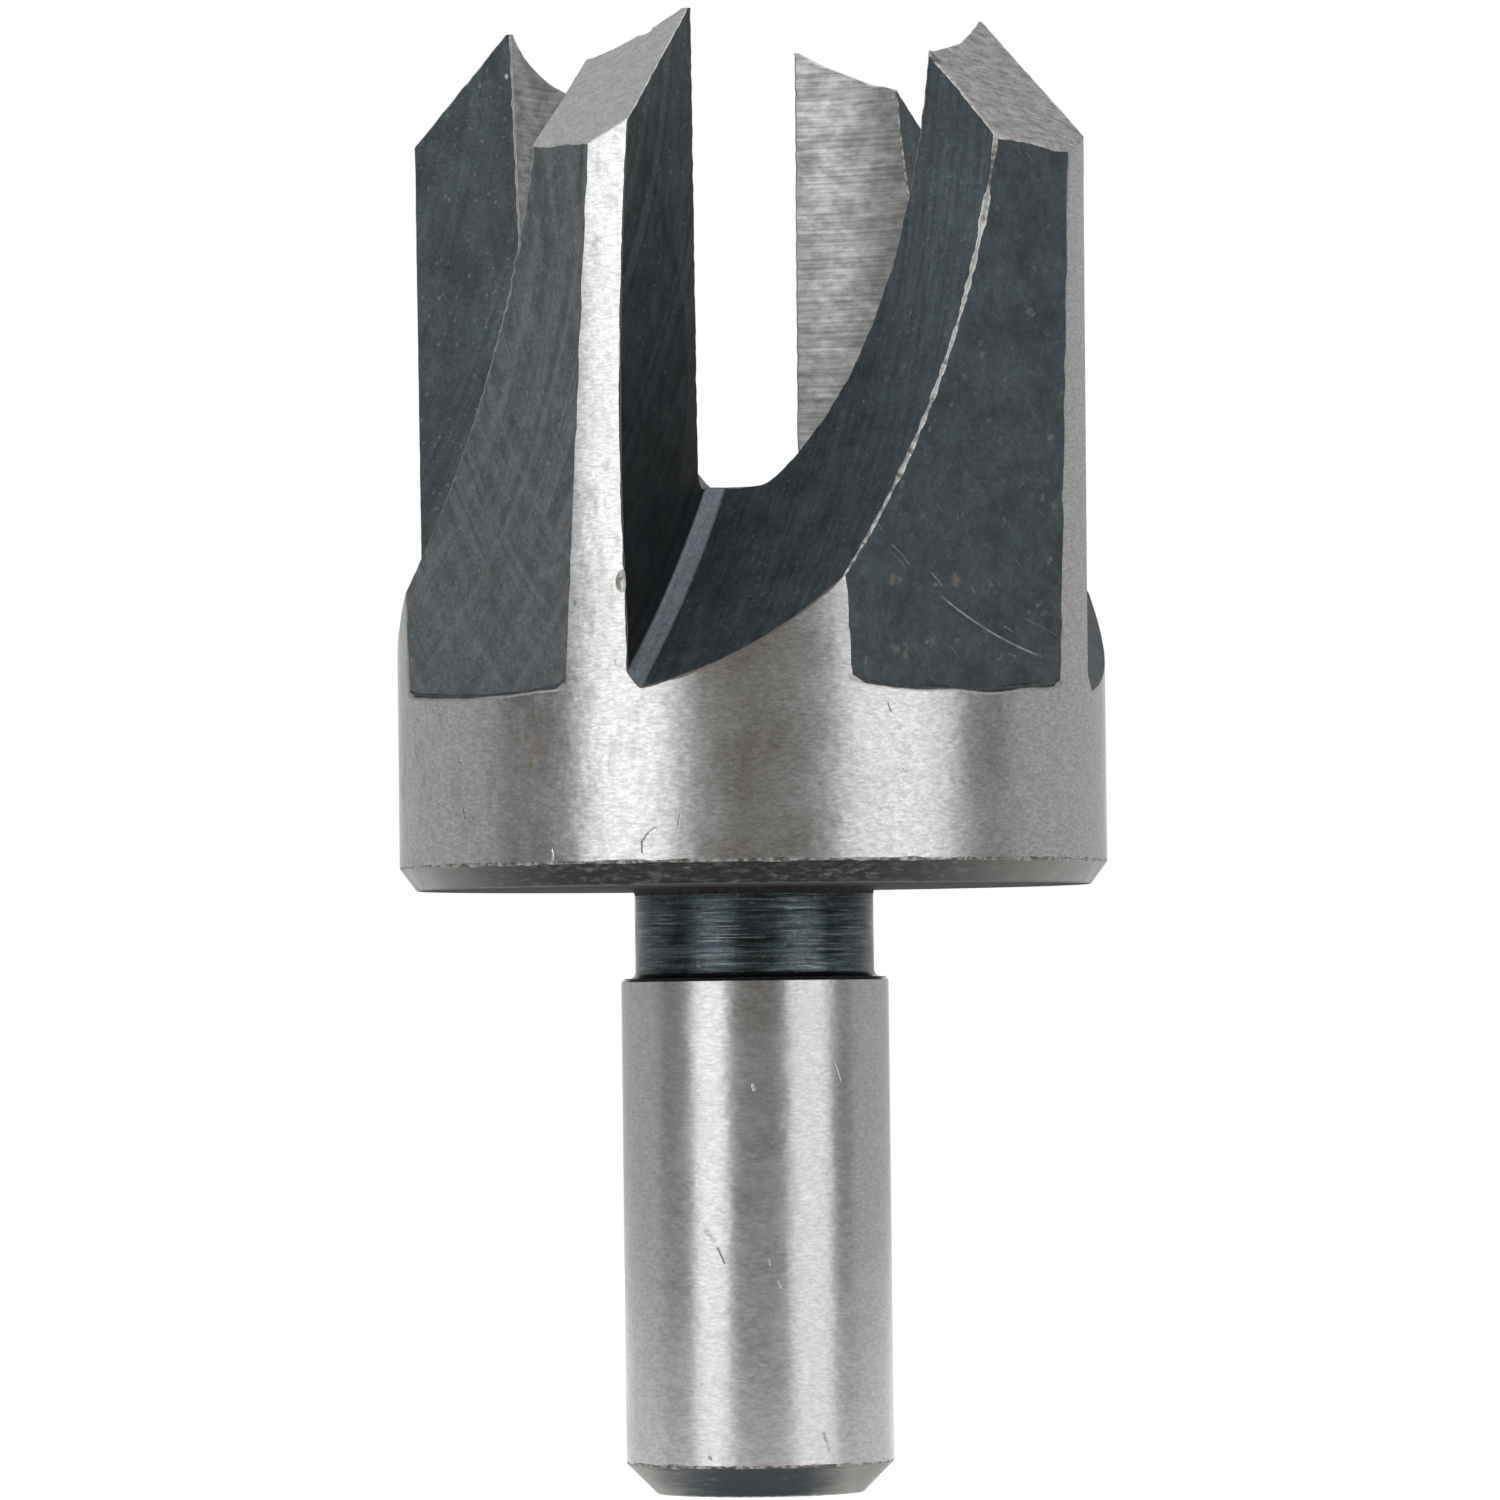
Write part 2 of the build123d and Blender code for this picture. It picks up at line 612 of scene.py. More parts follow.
@dataclass(frozen=True)
class Knock:
    """A small dent knocked into the tool, or a burr that a knock raised.

    Attributes:
        tooth: the tooth whose frame it is placed in.
        at: its middle in that frame, in mm.
        size: its half lengths along the outward, sideways and upward directions.
        lean_deg: how far its long side leans, about the outward direction.
        rough: share of its size by which its skin wanders.
        rounds: how often its facets are halved.
        lumps: how many lumps it has.
        seed: spreads the places that its lumps are read at.
    """

    tooth: int
    at: Triple
    size: Triple
    lean_deg: float = 0.0
    rough: float = 0.18
    rounds: int = 4
    lumps: float = 1.7
    seed: float = 3.7

    def solid(self) -> bpy.types.Object:
        """The lump."""
        shape = bmesh.new()
        bmesh.ops.create_icosphere(shape, subdivisions=self.rounds, radius=1.0)
        seed = Vector(self.at) * self.seed
        for vert in shape.verts:
            vert.co *= 1 + self.rough * noise.noise(vert.co * self.lumps + seed)
        out = math.degrees(math.atan2(self.at[1], self.at[0]))
        place = to_tooth(self.tooth) @ Matrix.Translation(self.at) @ turn(out, "Z") @ turn(self.lean_deg, "X")
        shape.transform(place @ Matrix.Diagonal((*self.size, 1.0)))
        mesh = bpy.data.meshes.new("knock")
        shape.to_mesh(mesh)
        shape.free()
        return placed("knock", mesh)


@dataclass(frozen=True)
class Tip:
    """The ground tip of one tooth, highest at the bore and falling outward and back.

    Attributes:
        tooth: which tooth.
        inner_rise: how far this tip's inner point stands above the drawn height, in mm.
        outer_rise: the same for its outer corner.
        heel_rise: the same for the inner end of the heel.
        slope_deg: how far the tip falls outward.
        relief_deg: how far it falls back.
        over: how far the wheel reaches past the metal.
        heel_over: how much further it reaches at the outer end of the heel.
        blunt: how far the inner point is worn down.
        wear_slope: fall of the worn point toward the cutting face.
    """

    tooth: int
    inner_rise: float
    outer_rise: float
    heel_rise: float
    slope_deg: float = 44.5
    relief_deg: float = 19.0
    over: float = 2.0
    heel_over: float = 2.0
    blunt: float = 0.12
    wear_slope: float = 0.04

    def corners(self) -> tuple[Vector, Vector]:
        """The plane's inner point and its normal, in the tooth's own frame."""
        lead = DRAWING.face_lead
        inner = math.sqrt(DRAWING.mouth_radius**2 - lead**2)
        outer = math.sqrt(DRAWING.body_radius**2 - lead**2)
        fall = math.tan(math.radians(self.slope_deg)) + (self.inner_rise - self.outer_rise) / (outer - inner)
        back = math.tan(math.radians(self.relief_deg))
        back += (self.inner_rise - self.heel_rise) / (lead + DRAWING.setback)
        return Vector((inner, lead, DRAWING.tip_z + self.inner_rise)), Vector((fall, -back, 1))

    def height(self, x: float, y: float) -> float:
        """Height of the ground tip over a place in the tooth's frame."""
        origin, normal = self.corners()
        return origin.z - (normal.x * (x - origin.x) + normal.y * (y - origin.y))

    def solid(self) -> bpy.types.Object:
        """The metal that the grinding takes off above this tooth."""
        inner, outer = self.corners()[0].x - self.over, DRAWING.body_radius + self.over
        front, heel = DRAWING.face_lead + self.over, -DRAWING.setback - self.over
        plan = [(inner, heel), (outer, heel - self.heel_over), (outer, front), (inner, front)]
        spin = to_tooth(self.tooth)
        low = [spin @ Vector((x, y, self.height(x, y))) for x, y in plan]
        high = [spin @ Vector((x, y, DRAWING.tip_z + DRAWING.body_radius)) for x, y in plan]
        return loft(f"tip_wheel_{self.tooth}", [low, high])

    def worn_off(self) -> bpy.types.Object:
        """The point of the tip, which wear has taken off."""
        spin = to_tooth(self.tooth)
        origin = self.corners()[0]
        rings = [
            [spin @ Vector((origin.x + x, origin.y + y, z - self.wear_slope * y)) for x, y in square(self.over)]
            for z in (origin.z - self.blunt, origin.z + self.over)
        ]
        return loft(f"tip_wear_{self.tooth}", rings)

    def surface(self) -> Surface:
        """The ground plane."""
        origin, normal = self.corners()
        spin = to_tooth(self.tooth)
        return plane_surface(Skin.TIP, self.tooth, spin @ origin, spin.to_3x3() @ normal)


TIPS = (
    Tip(0, 0.07, -0.2, 0.3),
    Tip(1, 0.05, 0.55, 0.05),
    Tip(2, 0.3, 0.4, 0.0, blunt=0.24),
    Tip(3, 0.12, -0.1, 0.02, blunt=0.25),
)

DENTS = (
    Knock(3, (12.45, 2.25, 31.97), (0.12, 0.29, 0.45), lean_deg=-6.0, rough=0.1),
    Knock(3, (8.45, 0.9, 51.34), (0.3, 0.5, 0.16), rough=0.05),
    Knock(1, (8.42, -1.42, 51.0), (0.4, 0.3, 0.3), rough=0.1),
    Knock(0, (12.5, 2.75, 48.35), (0.3, 0.16, 0.2)),
    Knock(0, (11.2, -2.4, 46.5), (0.13, 0.12, 0.14)),
    Knock(0, (4.2, -11.85, 21.9), (0.1, 0.25, 0.08)),
)

BURRS = (
    Knock(3, (12.56, -0.58, 22.42), (0.09, 0.07, 0.1)),
    Knock(2, (8.34, 2.66, 50.75), (0.08, 0.06, 0.12)),
)


def settle(target: bpy.types.Object) -> None:
    """Replaces the object's mesh by what its modifiers make of it."""
    result = bpy.data.meshes.new_from_object(target.evaluated_get(bpy.context.evaluated_depsgraph_get()))
    target.modifiers.clear()
    old = target.data
    target.data = result
    bpy.data.meshes.remove(old)


def combine(target: bpy.types.Object, tools: Iterable[bpy.types.Object], operation: str = "DIFFERENCE") -> None:
    """Cuts each tool out of the target, or joins it on, and removes the tools.

    Args:
        target: the solid that is worked.
        tools: closed solids.
        operation: DIFFERENCE, UNION or INTERSECT.
    """
    for tool in tools:
        step = target.modifiers.new("work", "BOOLEAN")
        step.operation = operation
        step.solver = "MANIFOLD"
        step.object = tool
        settle(target)
        mesh = tool.data
        bpy.data.objects.remove(tool)
        bpy.data.meshes.remove(mesh)


@dataclass(frozen=True)
class EdgeBreak:
    """How far an edge between two surfaces is broken, and how bright it is rubbed.

    Attributes:
        width: how far the break reaches over each surface, in mm.
        ragged: share of the width by which it wanders.
        grain: wanderings per mm along the edge.
        bright: 1 for bare steel, 0 for brown oxide.
        takes: the surface that the break belongs to, or None where it is a rubbed edge of its own.
    """

    width: float
    ragged: float = 0.5
    grain: float = 2.5
    bright: float = 0.5
    takes: Skin | None = None


@dataclass(frozen=True)
class WearLand:
    """A worn run along the edge between two surfaces of given teeth.

    Attributes:
        skins: the two surfaces.
        teeth: the teeth that they belong to.
        widths: heights and the width there, rising.
        shades: heights and the brightness there, rising.
    """

    skins: frozenset[Skin]
    teeth: frozenset[int]
    widths: tuple[Span, ...]
    shades: tuple[Span, ...]

    def at(self, z: float) -> Span:
        """Width and brightness at a height."""
        (heights, widths), (levels, shades) = zip(*self.widths), zip(*self.shades)
        return float(np.interp(z, heights, widths)), float(np.interp(z, levels, shades))


def pair(a: Skin, b: Skin) -> frozenset[Skin]:
    """Key for the edge between two surfaces."""
    return frozenset((a, b))


EDGE_BREAKS: dict[frozenset[Skin], EdgeBreak] = {
    pair(Skin.FACE, Skin.GROUND): EdgeBreak(0.04, 0.8, 2.0, bright=0.15),
    pair(Skin.FACE, Skin.BORED): EdgeBreak(0.08, 0.8, 2.6, bright=0.85),
    pair(Skin.FACE, Skin.TIP): EdgeBreak(0.035, 1.3, 2.2, takes=Skin.TIP),
    pair(Skin.FLAT, Skin.GROUND): EdgeBreak(0.07, 1.1, 1.1, takes=Skin.GROUND),
    pair(Skin.FLAT, Skin.GULLET): EdgeBreak(0.06, 0.9, 3.5, bright=0.6),
    pair(Skin.FLAT, Skin.TIP): EdgeBreak(0.07, 1.0, 2.0, takes=Skin.TIP),
    pair(Skin.TIP, Skin.BORED): EdgeBreak(0.07, 1.2, 1.3, takes=Skin.TIP),
    pair(Skin.TIP, Skin.GROUND): EdgeBreak(0.06, 0.9, 1.7, takes=Skin.TIP),
    pair(Skin.TIP, Skin.GULLET): EdgeBreak(0.06, 0.8, 2.0, bright=0.4),
    pair(Skin.GULLET, Skin.BORED): EdgeBreak(0.06, 0.9, 2.0, bright=0.5),
    pair(Skin.GULLET, Skin.GROUND): EdgeBreak(0.04, 0.8, 1.5, bright=0.12),
    pair(Skin.CORNER, Skin.GROUND): EdgeBreak(0.035, 0.5, bright=0.15),
    pair(Skin.CORNER, Skin.BORED): EdgeBreak(0.035, 0.4, bright=0.1),
    pair(Skin.SHOULDER, Skin.GROUND): EdgeBreak(0.1, 0.0, bright=0.85),
    pair(Skin.CHAMFER, Skin.GROUND): EdgeBreak(0.055, 1.1, 1.6, bright=0.5),
    pair(Skin.CHAMFER, Skin.CHAMFER): EdgeBreak(0.06, 0.5, bright=0.6),
    pair(Skin.CHAMFER, Skin.UNDER): EdgeBreak(0.05, 0.9, 2.0, bright=0.1),
    pair(Skin.GROUND, Skin.NECK): EdgeBreak(0.05, 0.4, bright=0.6),
}
PLAIN_BREAK = EdgeBreak(0.05, 0.4)

FRONT_LAND_WIDTHS = (
    (28.0, 0.04), (33.5, 0.06), (36.0, 0.08), (40.0, 0.065), (42.0, 0.07), (43.1, 0.12), (43.6, 0.045),
    (44.0, 0.1), (45.0, 0.17), (45.6, 0.09), (46.0, 0.03), (46.4, 0.06), (47.3, 0.09), (48.5, 0.08),
)

WEAR_LANDS = (
    WearLand(
        pair(Skin.FLAT, Skin.GULLET),
        frozenset((0, 3)),
        FRONT_LAND_WIDTHS,
        ((28.0, 0.5), (36.0, 0.55), (40.0, 0.65), (45.6, 0.7), (46.1, 0.4), (46.8, 0.5), (48.5, 0.6)),
    ),
    WearLand(
        pair(Skin.FLAT, Skin.GULLET),
        frozenset((3, 2)),
        ((34.0, 0.05), (36.0, 0.09), (40.0, 0.15), (43.0, 0.21), (46.0, 0.2), (48.5, 0.1)),
        ((34.0, 0.35), (40.0, 0.55), (44.0, 0.6), (48.0, 0.6)),
    ),
    WearLand(
        pair(Skin.TIP, Skin.GULLET),
        frozenset((0, 3)),
        ((48.3, 0.06), (49.8, 0.07), (50.4, 0.14), (51.4, 0.24)),
        ((48.3, 0.8), (49.9, 0.7), (50.5, 0.35), (51.4, 0.3)),
    ),
)


@dataclass(frozen=True)
class Fettling:
    """Works over the cut mesh: names each surface, tidies the edges and breaks them by their own widths.

    Attributes:
        widest: the widest break, which the edge weights are shares of.
        step: longest run between points along a broken edge.
        shortest: runs shorter than this are closed up.
        sharp_deg: turns sharper than this are edges.
        snug: how near a polygon's points lie to the surface it belongs to.
        segments: rows across a break.
        shallow_deg: facet lines that meet a broken edge at less than this are dissolved.
        gentle_deg: but only where the facets turn by less than this.
        thinnest: mean width below which a facet beside a broken edge is joined to the next, in mm.
        lengthwise: how well the line between them has to run along it.
        agree: how well a polygon has to face the way of its surface.
        narrowest: least width of a break, as a share of its plain width.
        fine: how much quicker a break's fine wandering is than the broad one.
        fine_share: size of the fine wandering as a share of the broad one.
        closings: most rounds of closing short runs.
        clearings: most rounds of clearing slivers.
    """

    widest: float = 0.3
    step: float = 0.2
    shortest: float = 0.045
    sharp_deg: float = 12.0
    snug: float = 0.006
    segments: int = 3
    shallow_deg: float = 28.0
    gentle_deg: float = 1.6
    thinnest: float = 0.09
    lengthwise: float = 0.8
    agree: float = 0.7
    narrowest: float = 0.2
    fine: float = 3.1
    fine_share: float = 0.5
    closings: int = 4
    clearings: int = 2

    def name_surfaces(self, mesh: bpy.types.Mesh, surfaces: Sequence[Surface]) -> np.ndarray:
        """Finds which exact surface each polygon lies on.

        Args:
            mesh: the cut mesh, in mm.
            surfaces: the exact surfaces.

        Returns:
            The surface's number for each polygon, or -1.
        """
        points, polygon_of, vertex_of = mesh_arrays(mesh)
        facing, centre = gathered(mesh.polygons, "normal", 3), gathered(mesh.polygons, "center", 3)
        count = len(facing)
        best = np.full(count, FAR)
        chosen = np.full(count, -1)
        for number, surface in enumerate(surfaces):
            off = np.abs(surface.gap(points))
            worst = np.zeros(count)
            np.maximum.at(worst, polygon_of, off[vertex_of])
            agree = np.einsum("ij,ij->i", facing, surface.normal(centre))
            score = np.where((worst < self.snug) & (agree > self.agree), worst + (1 - agree), FAR)
            better = score < best
            best[better] = score[better]
            chosen[better] = number
        return chosen

    def break_at(self, one: Surface, two: Surface, at: Vector) -> tuple[float, float, Skin | None]:
        """The break at one place on an edge.

        Args:
            one: a surface that meets there.
            two: the other one.
            at: the place, in mm.

        Returns:
            Its width in mm, how bright it is, and the skin that it takes after, if any.
        """
        skins = pair(one.skin, two.skin)
        rule = EDGE_BREAKS.get(skins, PLAIN_BREAK)
        width, bright, takes = rule.width, rule.bright, rule.takes
        for land in WEAR_LANDS:
            if land.skins == skins and land.teeth == {one.tooth, two.tooth}:
                width, bright = land.at(at.z)
        wander = noise.noise(at * rule.grain) + self.fine_share * noise.noise(at * rule.grain * self.fine)
        return max(width * (1 + rule.ragged * wander), self.narrowest * width), bright, takes

    def close_short_runs(self, shape: bmesh.types.BMesh, sharp: Sharp) -> None:
        """Closes up runs too short to carry a break, toward whichever end more edges meet at.

        Args:
            shape: the mesh.
            sharp: tells whether an edge is to be broken.
        """
        for _ in range(self.closings):
            rank = {v: sum(1 for e in v.link_edges if sharp(e)) for v in shape.verts}
            target: dict[bmesh.types.BMVert, bmesh.types.BMVert] = {}
            used: set[bmesh.types.BMVert] = set()
            for edge in sorted(shape.edges, key=lambda e: e.calc_length()):
                if edge.calc_length() > self.shortest:
                    break
                a, b = edge.verts
                if a in used or b in used or max(rank[a], rank[b]) < 2:
                    continue
                if rank[a] > 2 and rank[b] > 2 and edge.calc_length() > self.shortest / 4:
                    continue
                low, high = (a, b) if rank[a] < rank[b] else (b, a)
                target[low] = high
                used.update((low, high))
            if not target:
                return
            bmesh.ops.weld_verts(shape, targetmap=target)

    def clear_slivers(self, shape: bmesh.types.BMesh, surface_of: bmesh.types.BMLayerItem, sharp: Sharp) -> None:
        """Dissolves facet lines of one surface that come too near a broken edge for its break.

        Args:
            shape: the mesh.
            surface_of: the layer with each polygon's surface.
            sharp: tells whether an edge is to be broken.
        """
        shallow, gentle = math.radians(self.shallow_deg), math.radians(self.gentle_deg)
        for _ in range(self.clearings):
            broken = {e for e in shape.edges if sharp(e)}
            doomed = []
            for edge in shape.edges:
                if edge in broken or len(edge.link_faces) != 2:
                    continue
                a, b = edge.link_faces
                if a[surface_of] != b[surface_of] or edge.calc_face_angle(math.pi) > gentle:
                    continue
                course = edge.verts[1].co - edge.verts[0].co
                near = False
                for face in (a, b):
                    if 2 * face.calc_area() < self.thinnest * face.calc_perimeter():
                        sides = [(e.verts[1].co - e.verts[0].co).normalized() for e in face.edges if e in broken]
                        near = near or any(abs(course.normalized().dot(side)) > self.lengthwise for side in sides)
                for end in edge.verts:
                    along = edge.other_vert(end).co - end.co
                    others = [e.other_vert(end).co - end.co for e in end.link_edges if e in broken]
                    near = near or any(along.angle(other, math.pi) < shallow for other in others)
                if near:
                    doomed.append(edge)
            if not doomed:
                return
            bmesh.ops.dissolve_edges(shape, edges=doomed, use_verts=True, use_face_split=False)

    def prepare(self, mesh: bpy.types.Mesh, surfaces: Sequence[Surface]) -> list[tuple[Vector, float, int]]:
        """Marks surfaces on the mesh, tidies its edges and gives each broken edge its weight.

        Args:
            mesh: the cut mesh, in mm, changed in place.
            surfaces: the exact surfaces, the last of them standing for dents and burrs.

        Returns:
            Places along the broken edges, each with its brightness and the surface that it takes after, or -1.
        """
        chosen = self.name_surfaces(mesh, surfaces)
        chosen[chosen < 0] = len(surfaces) - 1
        log.info("surfaces named, %d polygons in dents and burrs", int((chosen == len(surfaces) - 1).sum()))
        shape = bmesh.new()
        shape.from_mesh(mesh)
        shape.faces.ensure_lookup_table()
        surface_of = shape.faces.layers.int.new(SURFACE)
        for face, number in zip(shape.faces, chosen):
            face[surface_of] = int(number)
        limit = math.radians(self.sharp_deg)

        def sharp(edge: bmesh.types.BMEdge) -> bool:
            """Tells whether an edge is a convex corner between two surfaces."""
            if len(edge.link_faces) != 2:
                return False
            a, b = (surfaces[f[surface_of]] for f in edge.link_faces)
            if (a.skin is b.skin and a.skin is not Skin.CHAMFER) or Skin.NICK in (a.skin, b.skin):
                return False
            return edge.calc_face_angle_signed(0.0) > limit

        self.close_short_runs(shape, sharp)
        self.clear_slivers(shape, surface_of, sharp)
        self.close_short_runs(shape, sharp)
        for run in [e for e in shape.edges if sharp(e)]:
            start = run.verts[0]
            for left in range(math.ceil(run.calc_length() / self.step), 1, -1):
                run, start = bmesh.utils.edge_split(run, start, 1.0 / left)
                run = next(e for e in start.link_edges if e is not run and len(e.link_faces) == 2 and sharp(e))
        layers = shape.edges.layers.float
        weight = layers.get(BREAK_WEIGHT) or layers.new(BREAK_WEIGHT)
        shades: list[tuple[Vector, float, int]] = []
        for edge in shape.edges:
            if sharp(edge):
                numbers = [f[surface_of] for f in edge.link_faces]
                middle = (edge.verts[0].co + edge.verts[1].co) / 2
                width, bright, takes = self.break_at(surfaces[numbers[0]], surfaces[numbers[1]], middle)
                edge[weight] = width / self.widest
                shades.append((middle, bright, next((n for n in numbers if surfaces[n].skin is takes), -1)))
        shape.to_mesh(mesh)
        shape.free()
        return shades

    def break_edges(self, body: bpy.types.Object) -> None:
        """Breaks the marked edges, each by its own weight.

        Args:
            body: the tool, whose mesh is replaced.
        """
        step = body.modifiers.new("edge_break", "BEVEL")
        step.limit_method = "WEIGHT"
        step.offset_type = "OFFSET"
        step.width = self.widest
        step.segments = self.segments
        step.loop_slide = False
        step.use_clamp_overlap = False
        step.material = SKINS.index(Skin.EDGE)
        settle(body)
        body.data.name = body.name


def gathered(items: Sequence[Any], name: str, width: int = 1, kind: type = float) -> np.ndarray:
    """Reads one property of many items.

    Args:
        items: the items.
        name: the property.
        width: how many numbers each has.
        kind: float or int.

    Returns:
        Its values, in rows where there are several to an item.
    """
    values = np.zeros(len(items) * width, kind)
    items.foreach_get(name, values)
    return values.reshape(-1, width) if width > 1 else values


def mesh_arrays(mesh: bpy.types.Mesh) -> tuple[np.ndarray, np.ndarray, np.ndarray]:
    """Reads a mesh into arrays.

    Args:
        mesh: the mesh.

    Returns:
        Points, the polygon of each corner and the vertex of each corner.
    """
    sides = gathered(mesh.polygons, "loop_total", kind=int)
    polygon_of = np.repeat(np.arange(len(sides)), sides)
    return gathered(mesh.vertices, "co", 3), polygon_of, gathered(mesh.loops, "vertex_index", kind=int)


Value = Union[float, Sequence[float], "Wire"]


class Wire:
    """A socket of a node tree that takes part in sums."""

    def __init__(self, recipe: "Recipe", socket: bpy.types.NodeSocket) -> None:
        """Takes the tree that it belongs to and the output socket."""
        self.recipe = recipe
        self.socket = socket

    @property
    def wide(self) -> bool:
        """True for a colour or a vector."""
        return self.socket.type in ("RGBA", "VECTOR")

    def __add__(self, other: Value) -> "Wire":
        """Sum."""
        return self.recipe.sums("ADD", self, other)

    def __sub__(self, other: Value) -> "Wire":
        """Difference."""
        return self.recipe.sums("SUBTRACT", self, other)

    def __rsub__(self, other: Value) -> "Wire":
        """Difference, the other way round."""
        return self.recipe.sums("SUBTRACT", other, self)

    def __mul__(self, other: Value) -> "Wire":
        """Product; a colour times a number is made lighter or darker."""
        return self.recipe.sums("MULTIPLY", self, other)

    def __truediv__(self, other: Value) -> "Wire":
        """Quotient."""
        return self.recipe.sums("DIVIDE", self, other)

    def __rtruediv__(self, other: Value) -> "Wire":
        """Quotient, the other way round."""
        return self.recipe.sums("DIVIDE", other, self)

    def __abs__(self) -> "Wire":
        """Size without sign."""
        return self.number("ABSOLUTE")

    __radd__ = __add__
    __rmul__ = __mul__

    def number(self, operation: str, other: Value = 0.0, clamp: bool = False) -> "Wire":
        """One Math node on this number and another."""
        return self.recipe.node("ShaderNodeMath", {"operation": operation, "use_clamp": clamp}, {0: self, 1: other})

    def vector(self, operation: str, other: Value = (0.0, 0.0, 0.0), output: str = "Vector") -> "Wire":
        """One Vector Math node on this vector and another."""
        return self.recipe.node("ShaderNodeVectorMath", {"operation": operation}, {0: self, 1: other}, output)

    def least(self, other: Value) -> "Wire":
        """The smaller of two numbers."""
        return self.number("MINIMUM", other)

    def most(self, other: Value) -> "Wire":
        """The larger of two numbers."""
        return self.number("MAXIMUM", other)

    def dot(self, other: Value) -> "Wire":
        """Dot product."""
        return self.vector("DOT_PRODUCT", other, "Value")

    def far(self, other: Value) -> "Wire":
        """Distance to another place."""
        return self.vector("DISTANCE", other, "Value")

    def around(self) -> "Wire":
        """Level direction from the axis."""
        return (self * LEVEL).vector("NORMALIZE")

    def part(self, axis: str) -> "Wire":
        """One part of a vector: X, Y or Z."""
        return self.recipe.node("ShaderNodeSeparateXYZ", None, {0: self}, axis)

    def joined(self, second: Value, third: Value = 0.0) -> "Wire":
        """A vector from this number and two more."""
        return self.recipe.node("ShaderNodeCombineXYZ", None, {0: self, 1: second, 2: third})

    def ramp(self, low: Value, high: Value, start: Value = 0.0, end: Value = 1.0) -> "Wire":
        """A number eased from start to end as this one goes from low to high."""
        sockets = {"Value": self, "From Min": low, "From Max": high, "To Min": start, "To Max": end}
        return self.recipe.node("ShaderNodeMapRange", {"interpolation_type": "SMOOTHSTEP"}, sockets)

    def blend(self, first: Value, second: Value) -> "Wire":
        """Mixes two colours by this share: the first at 0, the second at 1."""
        return self.recipe.node("ShaderNodeMix", {"data_type": "RGBA"}, {0: self, 6: first, 7: second}, 2)

    def pattern(self, kind: str, settings: Mapping[str, Any], scale: Value, sockets: Mapping[str, Any]) -> "Wire":
        """A texture at this place, its scale one number or one for each axis."""
        at, scale = (self * scale, 1.0) if isinstance(scale, tuple) else (self, scale)
        return self.recipe.node(kind, settings, {"Vector": at, "Scale": scale, **sockets})

    def cloud(self, scale: Value, detail: float = 3.0, rough: float = 0.5) -> "Wire":
        """Noise about 0.5, with so many features per unit, so many octaves and so strong fine ones."""
        sockets = {"Detail": detail, "Roughness": rough}
        return self.pattern("ShaderNodeTexNoise", {"noise_dimensions": "3D"}, scale, sockets)

    def cells(self, scale: Value) -> "Wire":
        """Distance to the nearest of scattered points."""
        return self.pattern("ShaderNodeTexVoronoi", {"feature": "F1"}, scale, {})

    def line_noise(self, scale: float, detail: float, rough: float) -> "Wire":
        """Noise along this number, for grooves and streaks."""
        sockets = {"W": self, "Scale": scale, "Detail": detail, "Roughness": rough}
        return self.recipe.node("ShaderNodeTexNoise", {"noise_dimensions": "1D"}, sockets)

    def near(self, start: Sequence[float], end: Sequence[float]) -> "Wire":
        """Distance from the straight run between two points."""
        way = Vector(end) - Vector(start)
        share = self.dot(tuple(way / way.length_squared)) - Vector(start).dot(way) / way.length_squared
        return (self - tuple(start)).far(share.number("ADD", clamp=True) * tuple(way))


class Recipe:
    """The node tree of one finish or light."""

    def __init__(self, tree: bpy.types.NodeTree) -> None:
        """Takes the tree, which is emptied."""
        self.tree = tree
        tree.nodes.clear()

    def node(
        self,
        kind: str,
        settings: Mapping[str, Any] | None = None,
        sockets: Mapping[str | int, Any] | None = None,
        output: str | int = 0,
    ) -> Wire:
        """Adds one node.

        Args:
            kind: the node's type.
            settings: what is set on the node before its sockets are filled.
            sockets: values or wires for its input sockets.
            output: which output is wanted.

        Returns:
            The wanted output.
        """
        made = self.tree.nodes.new(kind)
        for name, value in (settings or {}).items():
            setattr(made, name, value)
        for name, value in (sockets or {}).items():
            socket = made.inputs[name]
            if isinstance(value, Wire):
                self.tree.links.new(value.socket, socket)
            elif socket.type == "RGBA" and len(value) == 3:
                socket.default_value = (*value, 1.0)
            else:
                socket.default_value = value
        return Wire(self, made.outputs[output])

    def sums(self, operation: str, first: Value, second: Value) -> Wire:
        """One Math node for numbers, or one Vector Math node for colours and vectors.

        Args:
            operation: the operation's name.
            first: left side.
            second: right side.

        Returns:
            The result.
        """
        wide = [isinstance(v, Wire) and v.wide or isinstance(v, (tuple, list)) for v in (first, second)]
        if not any(wide):
            return self.node("ShaderNodeMath", {"operation": operation}, {0: first, 1: second})
        if operation == "MULTIPLY" and not all(wide):
            vector, number = (first, second) if wide[0] else (second, first)
            return self.node("ShaderNodeVectorMath", {"operation": "SCALE"}, {0: vector, "Scale": number})
        pads = [v if w or isinstance(v, Wire) else (v, v, v) for v, w in zip((first, second), wide)]
        return self.node("ShaderNodeVectorMath", {"operation": operation}, {0: pads[0], 1: pads[1]})

    def end(self, kind: str, shader: Wire) -> None:
        """Ends the tree with an output node that takes the shader."""
        self.tree.links.new(shader.socket, self.tree.nodes.new(kind).inputs["Surface"])


def relief(heights: Sequence[float], *layers: Wire) -> Wire:
    """Layers of unevenness, each at its own height, added up."""
    return reduce(add, (layer * height for layer, height in zip(layers, heights)))


